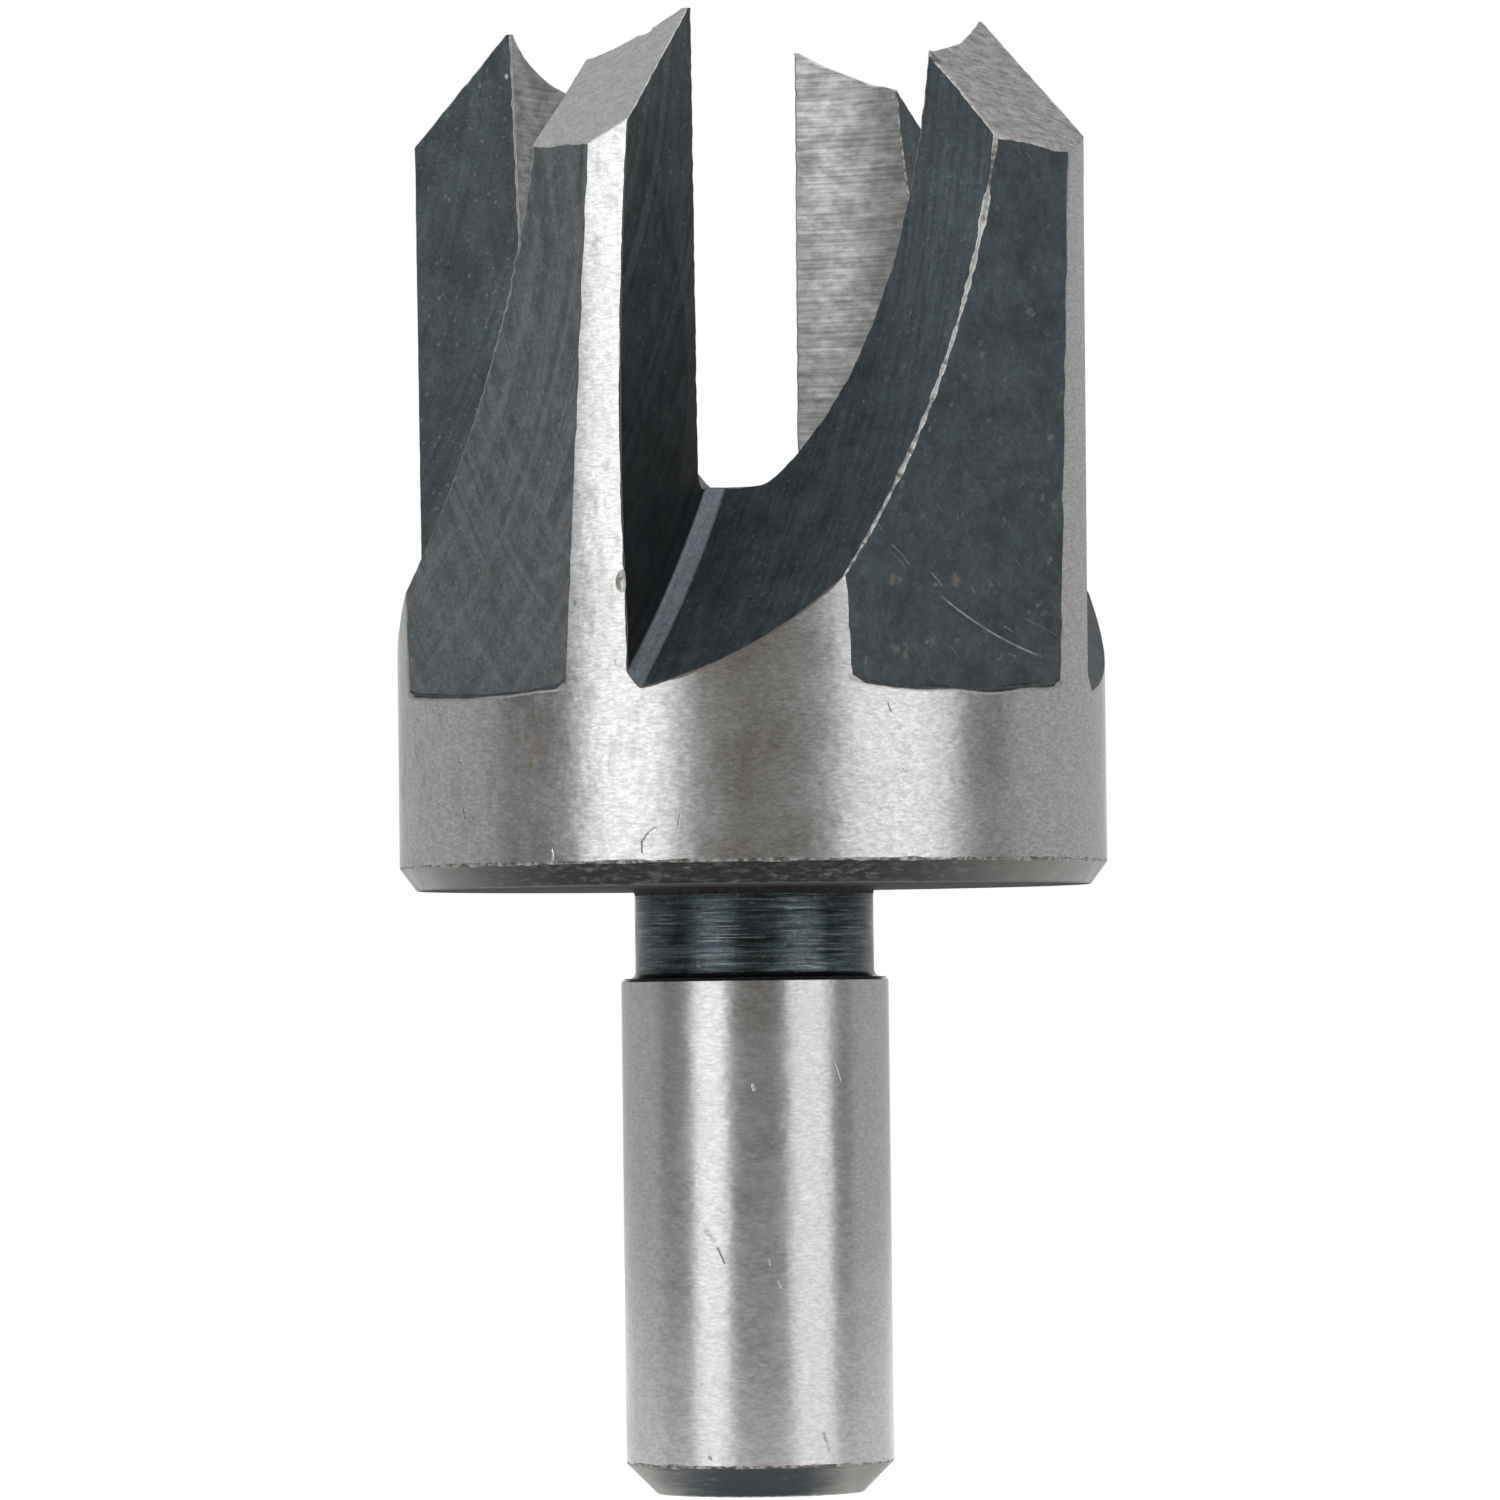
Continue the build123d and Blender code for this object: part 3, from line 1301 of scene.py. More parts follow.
@dataclass(frozen=True)
class Scratch:
    """A fine scratch on a flat surface.

    Attributes:
        start: where it begins, across the surface and up it.
        end: where it ends.
        half: half its width.
        strength: how bright it is.
        bow: how far its middle lies off the straight line.
        core: share of its half width that is at full strength.
        tail: distance from its middle over which it fades out, as shares of its length.
    """

    start: Span
    end: Span
    half: float
    strength: float
    bow: float = 0.0
    core: float = 0.3
    tail: Span = (0.38, 0.5)

    def drawn(self, across: Wire, up: Wire) -> Wire:
        """Its strength in the scratch, and 0 elsewhere."""
        length = math.dist(self.start, self.end)
        ahead = [(end - start) / length for start, end in zip(self.start, self.end)]
        x, y = across - self.start[0], up - self.start[1]
        along = (x * ahead[0] + y * ahead[1]) / length
        off = y * ahead[0] - x * ahead[1] - along * (1 - along) * (4 * self.bow)
        ends = abs(along - 0.5).ramp(*self.tail, 1.0, 0.0)
        return abs(off).ramp(self.core * self.half, self.half, 1.0, 0.0) * ends * self.strength


@dataclass(frozen=True)
class Finish:
    """What every finish shares: its plain colour, how metallic and how rough it is.

    Attributes:
        name: the material's name.
        colour: the plain colour, linear.
        metallic: 1 for bare steel, less under oxide.
        roughness: how far it spreads a reflection.
        anisotropy: how much further it spreads it along the axis than round it.
        lay: the direction of that spread, as a share of a full turn.
        gloss: strength of the shine where it isn't metallic.
    """

    name: str = "finish"
    colour: Triple = (0.42, 0.42, 0.41)
    metallic: float = 1.0
    roughness: float = 0.35
    anisotropy: float = 0.0
    lay: float = 0.25
    gloss: float = 0.5

    def paint(self, at: Wire, bench: Wire) -> dict[str, Any]:
        """What varies over the surface.

        Args:
            at: the place on the tool, in mm.
            bench: the place in the tooth's own frame, in mm.

        Returns:
            Wires for the shader's sockets, and the height of the relief in mm.
        """
        return {}

    def make(self) -> bpy.types.Material:
        """The finished material."""
        material = bpy.data.materials.new(self.name)
        material.use_nodes = True
        recipe = Recipe(material.node_tree)
        at = recipe.node("ShaderNodeTexCoord", output="Object") * (1 / MM)
        bench = recipe.node("ShaderNodeAttribute", {"attribute_name": BENCH}, output="Vector")
        varied = self.paint(at, bench)
        height = varied.pop("height", None)
        if height is not None:
            varied["Normal"] = recipe.node("ShaderNodeBump", None, {"Strength": 1.0, "Distance": MM, "Height": height})
        fixed = {
            "Base Color": self.colour,
            "Metallic": self.metallic,
            "Roughness": self.roughness,
            "Anisotropic": self.anisotropy,
            "Anisotropic Rotation": self.lay,
            "Specular IOR Level": self.gloss,
        }
        shader = recipe.node("ShaderNodeBsdfPrincipled", None, {**fixed, **varied})
        recipe.end("ShaderNodeOutputMaterial", shader)
        material.diffuse_color = (*self.colour, 1.0)
        return material


@dataclass(frozen=True)
class GroundSteel(Finish):
    """Cylindrically ground steel: satin with short flecks round the axis, soft lumps, stains, pits and rust.

    Attributes:
        step_z: heights between which the shank's look gives way to the body's.
        finer: how much less rough the shank is than the body.
        calm: how even the shank is, as a share of the body's unevenness.
        stained: direction of the side that is stained and pitted.
        heights: heights of swell, lumps, flecks, fine grain and scratches, in mm.
        rust: middle and radius of each rust spot, in mm.
        scores: start, end and half width of each small scratch in mm, and its depth, below zero where it stands up.
    """

    name: str = "ground_steel"
    colour: Triple = (0.47, 0.47, 0.467)
    roughness: float = 0.28
    anisotropy: float = 0.1
    step_z: Span = (18.3, 21.0)
    finer: float = 0.02
    calm: float = 0.65
    stained: Triple = (-0.86, -0.51, 0.0)
    heights: tuple[float, ...] = (0.016, 0.005, 0.0008, 0.0002, 0.01)
    rust_colour: Triple = (0.14, 0.1, 0.055)
    rust: tuple[tuple[float, ...], ...] = (
        (-1.07, -12.55, 27.45, 0.26), (-1.69, -12.49, 26.75, 0.3),
        (-1.53, -12.51, 25.71, 0.3), (-1.3, -12.53, 26.3, 0.6),
    )
    scores: tuple[tuple[float, ...], ...] = (
        (1.11, -4.63, 8.8, 1.35, -4.57, 8.28, 0.045, 1.0), (0.68, -4.71, 9.35, 1.0, -4.65, 9.05, 0.14, 0.5),
        (2.72, -3.92, 8.45, 2.77, -3.87, 8.2, 0.04, -0.5), (3.02, -3.69, 7.6, 3.1, -3.61, 7.38, 0.04, 0.7),
        (4.07, -2.47, 2.23, 4.12, -2.39, 2.0, 0.08, 0.7), (4.14, -2.35, 1.9, 4.17, -2.3, 1.66, 0.08, 0.5),
        (0.73, -4.71, 1.44, 0.77, -4.7, 1.37, 0.08, 1.0), (2.33, -4.15, 14.51, 2.36, -4.13, 14.34, 0.06, -1.0),
        (4.38, -1.86, 15.21, 4.46, -1.66, 14.65, 0.035, -0.8), (-2.87, -3.8, 13.73, -2.8, -3.86, 13.59, 0.06, 1.0),
        (2.83, -12.28, 22.59, 2.83, -12.28, 22.97, 0.035, 0.9), (2.83, -12.28, 22.97, 3.05, -12.23, 23.27, 0.04, 1.0),
        (3.05, -12.23, 23.27, 3.33, -12.15, 23.47, 0.035, 0.8), (4.07, -11.92, 23.46, 4.15, -11.9, 23.91, 0.03, 0.5),
        (-4.85, -11.63, 24.37, -4.74, -11.67, 23.92, 0.05, 1.0),
        (-5.21, -11.47, 26.27, -4.93, -11.59, 25.84, 0.05, 0.7),
        (-8.11, -9.65, 27.78, -7.6, -10.05, 27.33, 0.05, 0.7), (-8.05, -9.69, 26.61, -7.81, -9.89, 25.9, 0.05, 0.6),
        (10.0, -7.66, 27.66, 10.07, -7.58, 27.38, 0.04, 0.9), (10.34, -7.2, 25.42, 10.38, -7.14, 25.32, 0.06, -1.0),
        (11.62, -4.87, 24.22, 11.74, -4.59, 23.94, 0.03, 0.6), (11.95, 4.0, 27.68, 11.95, 3.99, 27.5, 0.06, 0.8),
        (-0.62, -12.58, 22.75, -0.58, -12.59, 22.41, 0.05, -1.0),
        (-6.42, -10.84, 28.13, -6.17, -10.99, 27.56, 0.04, 0.5),
    )

    def paint(self, at: Wire, bench: Wire) -> dict[str, Any]:
        """Lumps, flecks, stains, pits, scratches and rust."""
        swell = at.cloud((0.9, 0.9, 0.72), 2.0)
        lumps = at.cloud((2.3, 2.3, 2.99), 1.0, 0.4)
        flecks = at.cloud((3.6, 3.6, 10.0), 3.0, 0.6)
        fine = at.cloud((8.0, 8.0, 20.0), 2.0)
        patch = at.cloud(0.35, 2.0)
        side = at.dot(self.stained).ramp(2.0, 6.5)
        stain = at.cloud((1.9, 1.9, 0.7), 4.0, 0.6).ramp(0.5, 0.68) * side
        pits = (at.cells((1.7, 1.7, 1.0)) + (flecks - 0.5) * 0.2).ramp(0.03, 0.12, 1.0, 0.0)
        pits = pits * (patch + side * 0.12).ramp(0.6, 0.68)
        dug, raised = 0.0, 0.0
        wander = (flecks - 0.5) * 1.6
        for *ends, half, depth in self.scores:
            mark = (at.near(ends[:3], ends[3:]) + wander * half).ramp(0.1 * half, half, abs(depth), 0.0)
            dug, raised = (mark + dug, raised) if depth > 0 else (dug, mark + raised)
        spots = 0.0
        wander = (at.cloud(4.0, 3.0, 0.6) - 0.5) * 1.1
        for *middle, radius in self.rust:
            spots = (at.far(middle) + wander * radius).ramp(0.1 * radius, radius, 0.9, 0.0) + spots
        dull = flecks.ramp(0.3, 0.7, 0.82, 1.14) * lumps.ramp(0.35, 0.65, 0.96, 1.03)
        dull = dull * fine.ramp(0.3, 0.7, 0.9, 1.08)
        dull = (dull - 1) * at.part("Z").ramp(*self.step_z, self.calm, 1.0) + 1
        dull = dull * (1 - pits * 0.35) * (1 - stain * 0.15)
        dull = dull * (1 - dug.least(1.0) * 0.5) * (1 + raised * 0.25)
        rough = patch.ramp(0.3, 0.7, self.roughness - 0.03, self.roughness + 0.03) + stain * 0.08
        rough = rough - at.part("Z").ramp(*self.step_z, self.finer, 0.0)
        return {
            "Base Color": (spots.least(1.0) * 0.75).blend(dull * self.colour, self.rust_colour),
            "Roughness": rough + spots * 0.15,
            "height": relief(self.heights, swell, lumps, flecks, fine, raised - dug),
        }


@dataclass(frozen=True)
class BoredSteel(Finish):
    """Steel bored on the lathe: fine rings, soft bright patches and dull ones.

    Attributes:
        heights: heights of the rings, the broken rings, the patches and the smears, in mm.
    """

    name: str = "bored_steel"
    colour: Triple = (0.4, 0.4, 0.396)
    roughness: float = 0.47
    anisotropy: float = 0.2
    heights: tuple[float, ...] = (0.003, 0.004, 0.02, 0.006)

    def paint(self, at: Wire, bench: Wire) -> dict[str, Any]:
        """Boring rings and dull patches."""
        rings = at.cloud((0.35, 0.35, 6.0), 5.0, 0.7)
        broken = at.cloud((1.6, 1.6, 6.0), 3.0, 0.6)
        patch = at.cloud((0.7, 0.7, 1.0))
        lines = at.cloud((0.12, 0.12, 9.0), 3.0, 0.6)
        smears = at.cloud((1.5, 1.5, 2.6), 5.0, 0.68)
        dull = patch.ramp(0.35, 0.65, 0.84, 1.07) * rings.ramp(0.3, 0.7, 0.93, 1.05)
        dull = dull * broken.ramp(0.3, 0.7, 0.95, 1.05) * lines.ramp(0.35, 0.65, 0.75, 1.12)
        dull = dull * smears.ramp(0.35, 0.65, 0.78, 1.18)
        return {
            "Base Color": dull * self.colour,
            "Roughness": patch.ramp(0.3, 0.65, self.roughness + 0.1, self.roughness),
            "height": relief(self.heights, rings, broken, patch, smears),
        }


@dataclass(frozen=True)
class TipSteel(Finish):
    """Steel off a coarse wheel: matte and rough, with short scores across the tip.

    Attributes:
        lay_deg: direction of the scores.
        coarse_lay_deg: their direction on the coarse tip.
        coarse_x: where the coarse tip begins.
        rise: how far the scores climb with the tip's slope.
        heights: heights of the scores, the lumps and the specks, in mm.
    """

    name: str = "tip_steel"
    colour: Triple = (0.52, 0.52, 0.515)
    roughness: float = 0.42
    lay_deg: float = 4.0
    coarse_lay_deg: float = 31.0
    coarse_x: Span = (5.0, 6.0)
    rise: float = 0.6
    heights: tuple[float, ...] = (0.015, 0.06, 0.006)

    def spot(self, bench: Wire, degrees: float) -> Wire:
        """Place across the scores and along them."""
        lay = math.radians(degrees)
        over = bench.dot((math.cos(lay), -math.sin(lay), -self.rise))
        return over.joined(bench.dot((math.sin(lay), math.cos(lay), 0.0)))

    def paint(self, at: Wire, bench: Wire) -> dict[str, Any]:
        """Wheel scores, coarser on one tip than on the others."""
        coarse = at.part("X").ramp(*self.coarse_x)
        spot = self.spot(bench, self.lay_deg) * (1 - coarse) + self.spot(bench, self.coarse_lay_deg) * coarse
        scores = spot.cloud((7.0, 1.0, 1.0), 4.0, 0.65)
        lumps = spot.cloud((2.8, 1.7, 1.0), 5.0, 0.68)
        specks = at.cloud(8.0, 2.0)
        swing = coarse * 0.18 + 0.1
        level = lumps.ramp(0.3, 0.7, 1 - swing, 1 + swing) * scores.ramp(0.3, 0.7, 1 - swing * 0.7, 1 + swing * 0.7)
        level = level * specks.ramp(0.3, 0.7, 0.9, 1.1) * (1 - coarse * 0.27)
        height = relief(self.heights, scores, lumps, specks) * (coarse * 0.75 + 0.25)
        return {"Base Color": level * self.colour, "height": height}


@dataclass(frozen=True)
class Oxide(Finish):
    """Black oxide over milled steel: grainy, cloudy, with mill marks, brown blooms and pale specks.

    Attributes:
        marked: how strongly the mill's marks show in the colour.
        brown: strength of the brown blooms.
        specked: strength of the pale specks.
        groove: height of the mill's marks, in mm.
        heights: heights of the clouds and the grain.
    """

    name: str = "oxide"
    colour: Triple = (0.062, 0.074, 0.08)
    metallic: float = 0.5
    roughness: float = 0.36
    marked: float = 0.3
    brown: float = 0.4
    specked: float = 0.8
    groove: float = 0.006
    heights: tuple[float, ...] = (0.004, 0.001)
    bloom_colour: Triple = (0.1, 0.09, 0.08)
    speck_colour: Triple = (0.26, 0.24, 0.21)

    def streaks(self, at: Wire, bench: Wire) -> Wire:
        """The mill's marks, about 0.5."""
        return at.cloud(3.0, 4.0)

    def extra(self, at: Wire, bench: Wire, skin: Wire, marks: Wire) -> Wire:
        """Scratches, rust and shades of its own where a finish adds them; the plain oxide leaves the skin as it is."""
        return skin

    def paint(self, at: Wire, bench: Wire) -> dict[str, Any]:
        """Milling marks under a cloudy skin with pale specks."""
        marks = self.streaks(at, bench)
        cloud = at.cloud(0.7, 4.0, 0.6)
        grain = at.cloud(8.0, 2.0, 0.6)
        level = marks.ramp(0.3, 0.7, 1 - self.marked, 1 + self.marked) * grain.ramp(0.3, 0.7, 0.8, 1.2)
        skin = level * cloud.ramp(0.3, 0.7, 0.9, 1.1) * self.colour
        skin = (at.cloud(1.1, 5.0, 0.65).ramp(0.5, 0.72) * self.brown).blend(skin, self.bloom_colour)
        specks = (at + grain * 0.2).cells(1.9).ramp(0.05, 0.13, 1.0, 0.0) * cloud.ramp(0.48, 0.62) * self.specked
        dust = (at + grain * 0.25).cells(2.7).ramp(0.1, 0.27, 1.0, 0.0)
        dust = dust * at.cloud(2.0).ramp(0.45, 0.58) * self.specked * 0.6
        skin = (specks.most(dust) * 0.6).blend(skin, self.speck_colour)
        return {
            "Base Color": self.extra(at, bench, skin, marks),
            "Roughness": cloud.ramp(0.3, 0.7, self.roughness - 0.05, self.roughness + 0.07),
            "height": relief((self.groove, *self.heights), marks, cloud, grain),
        }


@dataclass(frozen=True)
class FlatOxide(Oxide):
    """Oxide on the flats, with two families of arcs that a large mill left, scratches and rust.

    Attributes:
        flat_turn_deg: how far the flats are turned from the teeth's own direction.
        sweep: how far the arcs' centres lie to each side.
        sweep_z: how high they lie.
        near_x: where the flat nearest the camera begins; that flat also takes painted shade.
        back_y: where the flat at the back begins, which painted light makes lighter.
        fade_z: heights between which the arcs grow clear.
        rim: distances from the axis between which the skin turns brown by the ground steel.
        warm: the colour of the arcs on the other flats.
        cool: a tinge of the near flat.
        wiped: the colour of its wipe marks.
        bare: the colour in the scratches.
        scratches: the scratches on the near flat.
        rust: place and radius of each rust spot there.
    """

    name: str = "flat_oxide"
    flat_turn_deg: float = 21.6
    sweep: float = 18.0
    sweep_z: float = 48.0
    near_x: Span = (6.0, 7.0)
    back_y: Span = (6.0, 8.0)
    fade_z: Span = (29.0, 37.0)
    rim: Span = (12.52, 12.6)
    warm: Triple = (0.15, 0.142, 0.146)
    cool: Triple = (0.04, 0.064, 0.078)
    wiped: Triple = (0.3, 0.31, 0.3)
    rust_colour: Triple = (0.2, 0.175, 0.14)
    crumb_colour: Triple = (0.22, 0.215, 0.195)
    bare: Triple = (0.42, 0.43, 0.42)
    edge_brown: Triple = (0.07, 0.05, 0.042)
    scratches: tuple[Scratch, ...] = (
        Scratch((-0.78, 31.52), (3.95, 29.33), 0.045, 1.0, -0.22),
        Scratch((-2.81, 33.21), (-1.95, 32.44), 0.035, 0.7, 0.03),
        Scratch((-2.95, 33.08), (-2.15, 32.36), 0.025, 0.4),
        Scratch((-4.1, 34.67), (-3.04, 33.48), 0.03, 0.4, 0.04),
        Scratch((-1.07, 32.26), (-0.52, 31.73), 0.035, 0.7),
        Scratch((0.71, 31.75), (0.89, 31.54), 0.03, 0.5),
        Scratch((2.12, 30.43), (2.63, 30.18), 0.035, 0.6),
        Scratch((2.28, 29.48), (2.66, 29.34), 0.03, 0.5),
        Scratch((2.97, 30.74), (4.62, 30.07), 0.025, 0.35, 0.02),
    )
    rust: tuple[Triple, ...] = (
        (-2.79, 31.93, 0.3), (0.07, 31.98, 0.34), (-2.72, 29.56, 0.3),
        (-2.31, 29.34, 0.24), (-1.09, 29.85, 0.22), (4.6, 34.6, 0.2),
    )

    def place(self, bench: Wire) -> tuple[Wire, Wire]:
        """Place across the flat and up it."""
        a = math.radians(self.flat_turn_deg)
        return bench.dot((math.sin(a), math.cos(a), 0.0)), bench.part("Z")

    def streaks(self, at: Wire, bench: Wire) -> Wire:
        """Crossing arcs, some broad and some fine."""
        across, up = self.place(bench)
        left, right = [across.joined(up).far((side * self.sweep, self.sweep_z, 0.0)) for side in (-1, 1)]
        one = left.line_noise(1.3, 7.0, 0.66)
        two = (right + 31.0).line_noise(1.2, 7.0, 0.66)
        shift = at.cloud(0.45, 2.0).ramp(0.35, 0.65)
        marks = one * shift + two * (1 - shift) + (one.most(two) - 0.55) * 0.5
        deep = at.part("X").ramp(*self.near_x, 1.0, 0.3) * up.ramp(*self.fade_z, 0.5, 1.1)
        return 0.5 + (marks - 0.5) * deep

    def extra(self, at: Wire, bench: Wire, skin: Wire, marks: Wire) -> Wire:
        """Scratches and rust on the near flat, warm arcs on the others, a brown line by the ground steel; painted shade
        darkens the near flat and painted light brightens the flat at the back.
        """
        across, up = self.place(bench)
        here = at.part("X").ramp(*self.near_x)
        warm = (marks + (at.cloud(0.9) - 0.5) * 0.5).ramp(0.45, 0.7) * (1 - here) * 0.5
        # painted shade and light: the near flat darker by 0.45, the flat at the back up to 1.7 times lighter, by the
        # way each flat faces
        skin = warm.blend(skin, self.warm) * ((1 - here * 0.45) * at.part("Y").ramp(*self.back_y, 1.0, 1.7))
        skin = (here * 0.35).blend(skin, self.cool)
        slant = ((across - up) * 0.45).joined((across + up) * 4.5)
        skin = (slant.cloud(1.0, 4.0, 0.6).ramp(0.62, 0.72) * here * 0.2).blend(skin, self.wiped)
        skin = skin * at.cloud(2.4, 5.0, 0.7).ramp(0.3, 0.7, 0.8, 1.2)
        spots, scored = 0.0, 0.0
        uneven = (at.cloud(4.5, rough=0.65) - 0.5) * 0.75
        for x, z, radius in self.rust:
            spots = (across.joined(up).far((x, z, 0.0)) + uneven).ramp(0.0, radius, 1.0, 0.0) + spots
        skin = (spots.least(1.0) * here * 0.6).blend(skin, self.rust_colour)
        crumbs = (at + at.cloud(5.0, 3.0, 0.7) * 0.7).cells(1.3).ramp(0.04, 0.2, 1.0, 0.0)
        crumbs = crumbs * (at + 3.0).cloud(0.9).ramp(0.44, 0.54) * here
        skin = (crumbs * 0.7).blend(skin, self.crumb_colour)
        for scratch in self.scratches:
            scored = scratch.drawn(across, up) + scored
        worn = at.cloud(2.0, 4.0, 0.7).ramp(0.35, 0.6, 0.35, 1.0)
        skin = (scored.least(1.0) * worn * here * 0.8).blend(skin, self.bare)
        away = (at * LEVEL).far((0.0, 0.0, 0.0))
        return (away.ramp(*self.rim) * 0.5).blend(skin, self.edge_brown)


@dataclass(frozen=True)
class FaceOxide(Oxide):
    """Oxide on the cutting faces, with arcs about the side mill's centre.

    Attributes:
        centre: the mill's centre, outward and up.
        left_x: where the face to the left ends.
        front_y: where the face in front ends.
        shaded_foot_z: heights between which painted shade makes that one blacker toward its foot.
    """

    name: str = "face_oxide"
    centre: Span = (37.3, 54.2)
    left_x: Span = (-7.0, -6.0)
    front_y: Span = (-7.0, -6.0)
    shaded_foot_z: Span = (33.0, 47.0)

    def streaks(self, at: Wire, bench: Wire) -> Wire:
        """Arcs about the mill's centre."""
        away = bench.part("X").joined(bench.part("Z")).far((*self.centre, 0.0))
        marks = away.line_noise(2.6, 6.0, 0.7) * 0.6 + at.cloud((2.56, 2.56, 1.12)) * 0.4
        return 0.5 + (marks - 0.5) * at.part("X").ramp(*self.left_x, 0.4, 1.0)

    def extra(self, at: Wire, bench: Wire, skin: Wire, marks: Wire) -> Wire:
        """Paler on the face to the left; painted shade makes the one in front blacker toward its foot, down in the
        gullet.
        """
        left = at.part("X").ramp(*self.left_x, 1.35, 1.0)
        front = at.part("Y").ramp(*self.front_y, 1.0, 0.0)
        # painted shade: the face in front goes blacker toward its foot, where the gullet shades it
        return skin * (left * (1 - at.part("Z").ramp(*self.shaded_foot_z, 0.74, 0.05) * front))


@dataclass(frozen=True)
class GulletOxide(Oxide):
    """Oxide on the gullet floors, with streaks along the mill's travel.

    Attributes:
        near_x: where the gullet to the right begins, which stays dark.
        pale_z: heights between which the others grow paler.
    """

    name: str = "gullet_oxide"
    near_x: Span = (4.0, 5.0)
    pale_z: Span = (36.0, 47.0)

    def streaks(self, at: Wire, bench: Wire) -> Wire:
        """Streaks along the rim's path."""
        return bench.cloud((0.3, 5.0, 0.3), 5.0, 0.7) * 0.75 + at.cloud(3.0) * 0.25

    def extra(self, at: Wire, bench: Wire, skin: Wire, marks: Wire) -> Wire:
        """Paler toward the tips."""
        here = at.part("X").ramp(*self.near_x, 1.0, 0.2)
        return skin * (1 + at.part("Z").ramp(*self.pale_z, 0.0, 0.45) * here)


@dataclass(frozen=True)
class TurnedOxide(Oxide):
    """Oxide over turned steel, with rings round the axis and painted glints on them."""

    name: str = "turned_oxide"
    glint_colour: Triple = (0.33, 0.36, 0.36)

    def streaks(self, at: Wire, bench: Wire) -> Wire:
        """Rings, some of them broken."""
        return at.cloud((0.14, 0.14, 5.0), 6.0, 0.8) * 0.65 + at.cloud((1.0, 1.0, 7.0), 3.0, 0.6) * 0.35

    def extra(self, at: Wire, bench: Wire, skin: Wire, marks: Wire) -> Wire:
        """Short bright streaks along the rings, painted on as glints: a painted highlight."""
        # painted highlight: thin bright streaks stand in for glints of light on the rings
        painted_glints = (at * (0.45, 0.45, 13.0) + 3.0).cloud(1.0, 3.0, 0.6).ramp(0.58, 0.66)
        return (painted_glints * 0.4).blend(skin, self.glint_colour)


@dataclass(frozen=True)
class ChamferOxide(TurnedOxide):
    """Patchy oxide on the chamfers, black in the middle of the side that is seen, partly painted shade, and grey away
    from it as a painted reflection.

    Attributes:
        middle: direction of the blackest side, which faces the camera.
        black: the colour there.
        earth: the colour of the brown blooms on the body's chamfer.
        blued: a tinge of the shank's chamfer.
        rubbed: the grey of the painted reflection away from the blackest side, and of a few bare specks.
        end_z: heights between which the shank's chamfer gives way to the body's.
    """

    name: str = "chamfer_oxide"
    middle: Triple = (0.42, -0.91, 0.0)
    black: Triple = (0.016, 0.018, 0.019)
    earth: Triple = (0.085, 0.075, 0.06)
    blued: Triple = (0.03, 0.042, 0.05)
    rubbed: Triple = (0.24, 0.235, 0.22)
    end_z: Span = (2.0, 3.0)

    def extra(self, at: Wire, bench: Wire, skin: Wire, marks: Wire) -> Wire:
        """Black blotches, a painted reflection grey toward the ends away from the camera, and a few bare specks."""
        front = at.around().dot(self.middle)
        blotch = at.cloud((2.0, 2.0, 6.0), 4.0, 0.65)
        low = at.part("Z").ramp(*self.end_z, 1.0, 0.0)
        brown = (at + 7.0).cloud(1.3, 4.0, 0.7).ramp(0.4, 0.7) * (1 - low) * 0.6
        skin = brown.blend(skin, self.earth)
        # black blotches, a little more of them toward the camera-facing middle: partly painted shade
        skin = ((blotch + front * 0.14).ramp(0.42, 0.7) * (0.95 - low * 0.7)).blend(skin, self.black)
        streak = at.cloud((0.4, 0.4, 7.0), 4.0, 0.7)
        wander = (streak - 0.5) * low * 0.55 + (blotch - 0.5) * (1 - low) * 0.3
        # painted reflection: grey grows away from the camera-facing middle, mixed with a few real bare specks
        bare = (1 - front + wander).ramp(0.06, 0.6 - low * 0.15) * (low * 0.35 + 0.65)
        skin = (low * 0.7).blend(skin, self.blued)
        return bare.most(blotch.ramp(0.38, 0.26) * 0.3).blend(skin, self.rubbed)


@dataclass(frozen=True)
class WornEdge(Finish):
    """Edges rubbed bright, dull where the oxide still clings.

    Attributes:
        clinging: the colour of the oxide that is left.
        stain: middle and radius of a yellow stain, in mm.
        wave_mm: height of the unevenness along the edge.
    """

    name: str = "worn_edge"
    colour: Triple = (0.35, 0.345, 0.335)
    roughness: float = 0.45
    clinging: Triple = (0.085, 0.07, 0.06)
    stain_colour: Triple = (0.42, 0.36, 0.2)
    stain: tuple[float, ...] = (12.3, 2.4, 48.5, 0.35)
    wave_mm: float = 0.008

    def paint(self, at: Wire, bench: Wire) -> dict[str, Any]:
        """Bright metal where it is rubbed, brown oxide where it is not, and a broken line between."""
        shade = at.recipe.node("ShaderNodeAttribute", {"attribute_name": SHADE}, output="Fac")
        rubbed = (shade + (at.cloud(3.5, 4.0, 0.65) - 0.5) * 1.5).ramp(0.3, 0.7)
        steel = at.cloud(5.0, 3.0, 0.6).ramp(0.3, 0.7, 0.82, 1.12) * self.colour
        *middle, radius = self.stain
        stained = at.far(middle).ramp(0.4 * radius, radius, 0.7, 0.0)
        return {
            "Base Color": stained.blend(rubbed.blend(self.clinging, steel), self.stain_colour),
            "Metallic": rubbed.ramp(0.0, 1.0, 0.4, 1.0),
            "height": at.cloud(7.0) * self.wave_mm,
        }


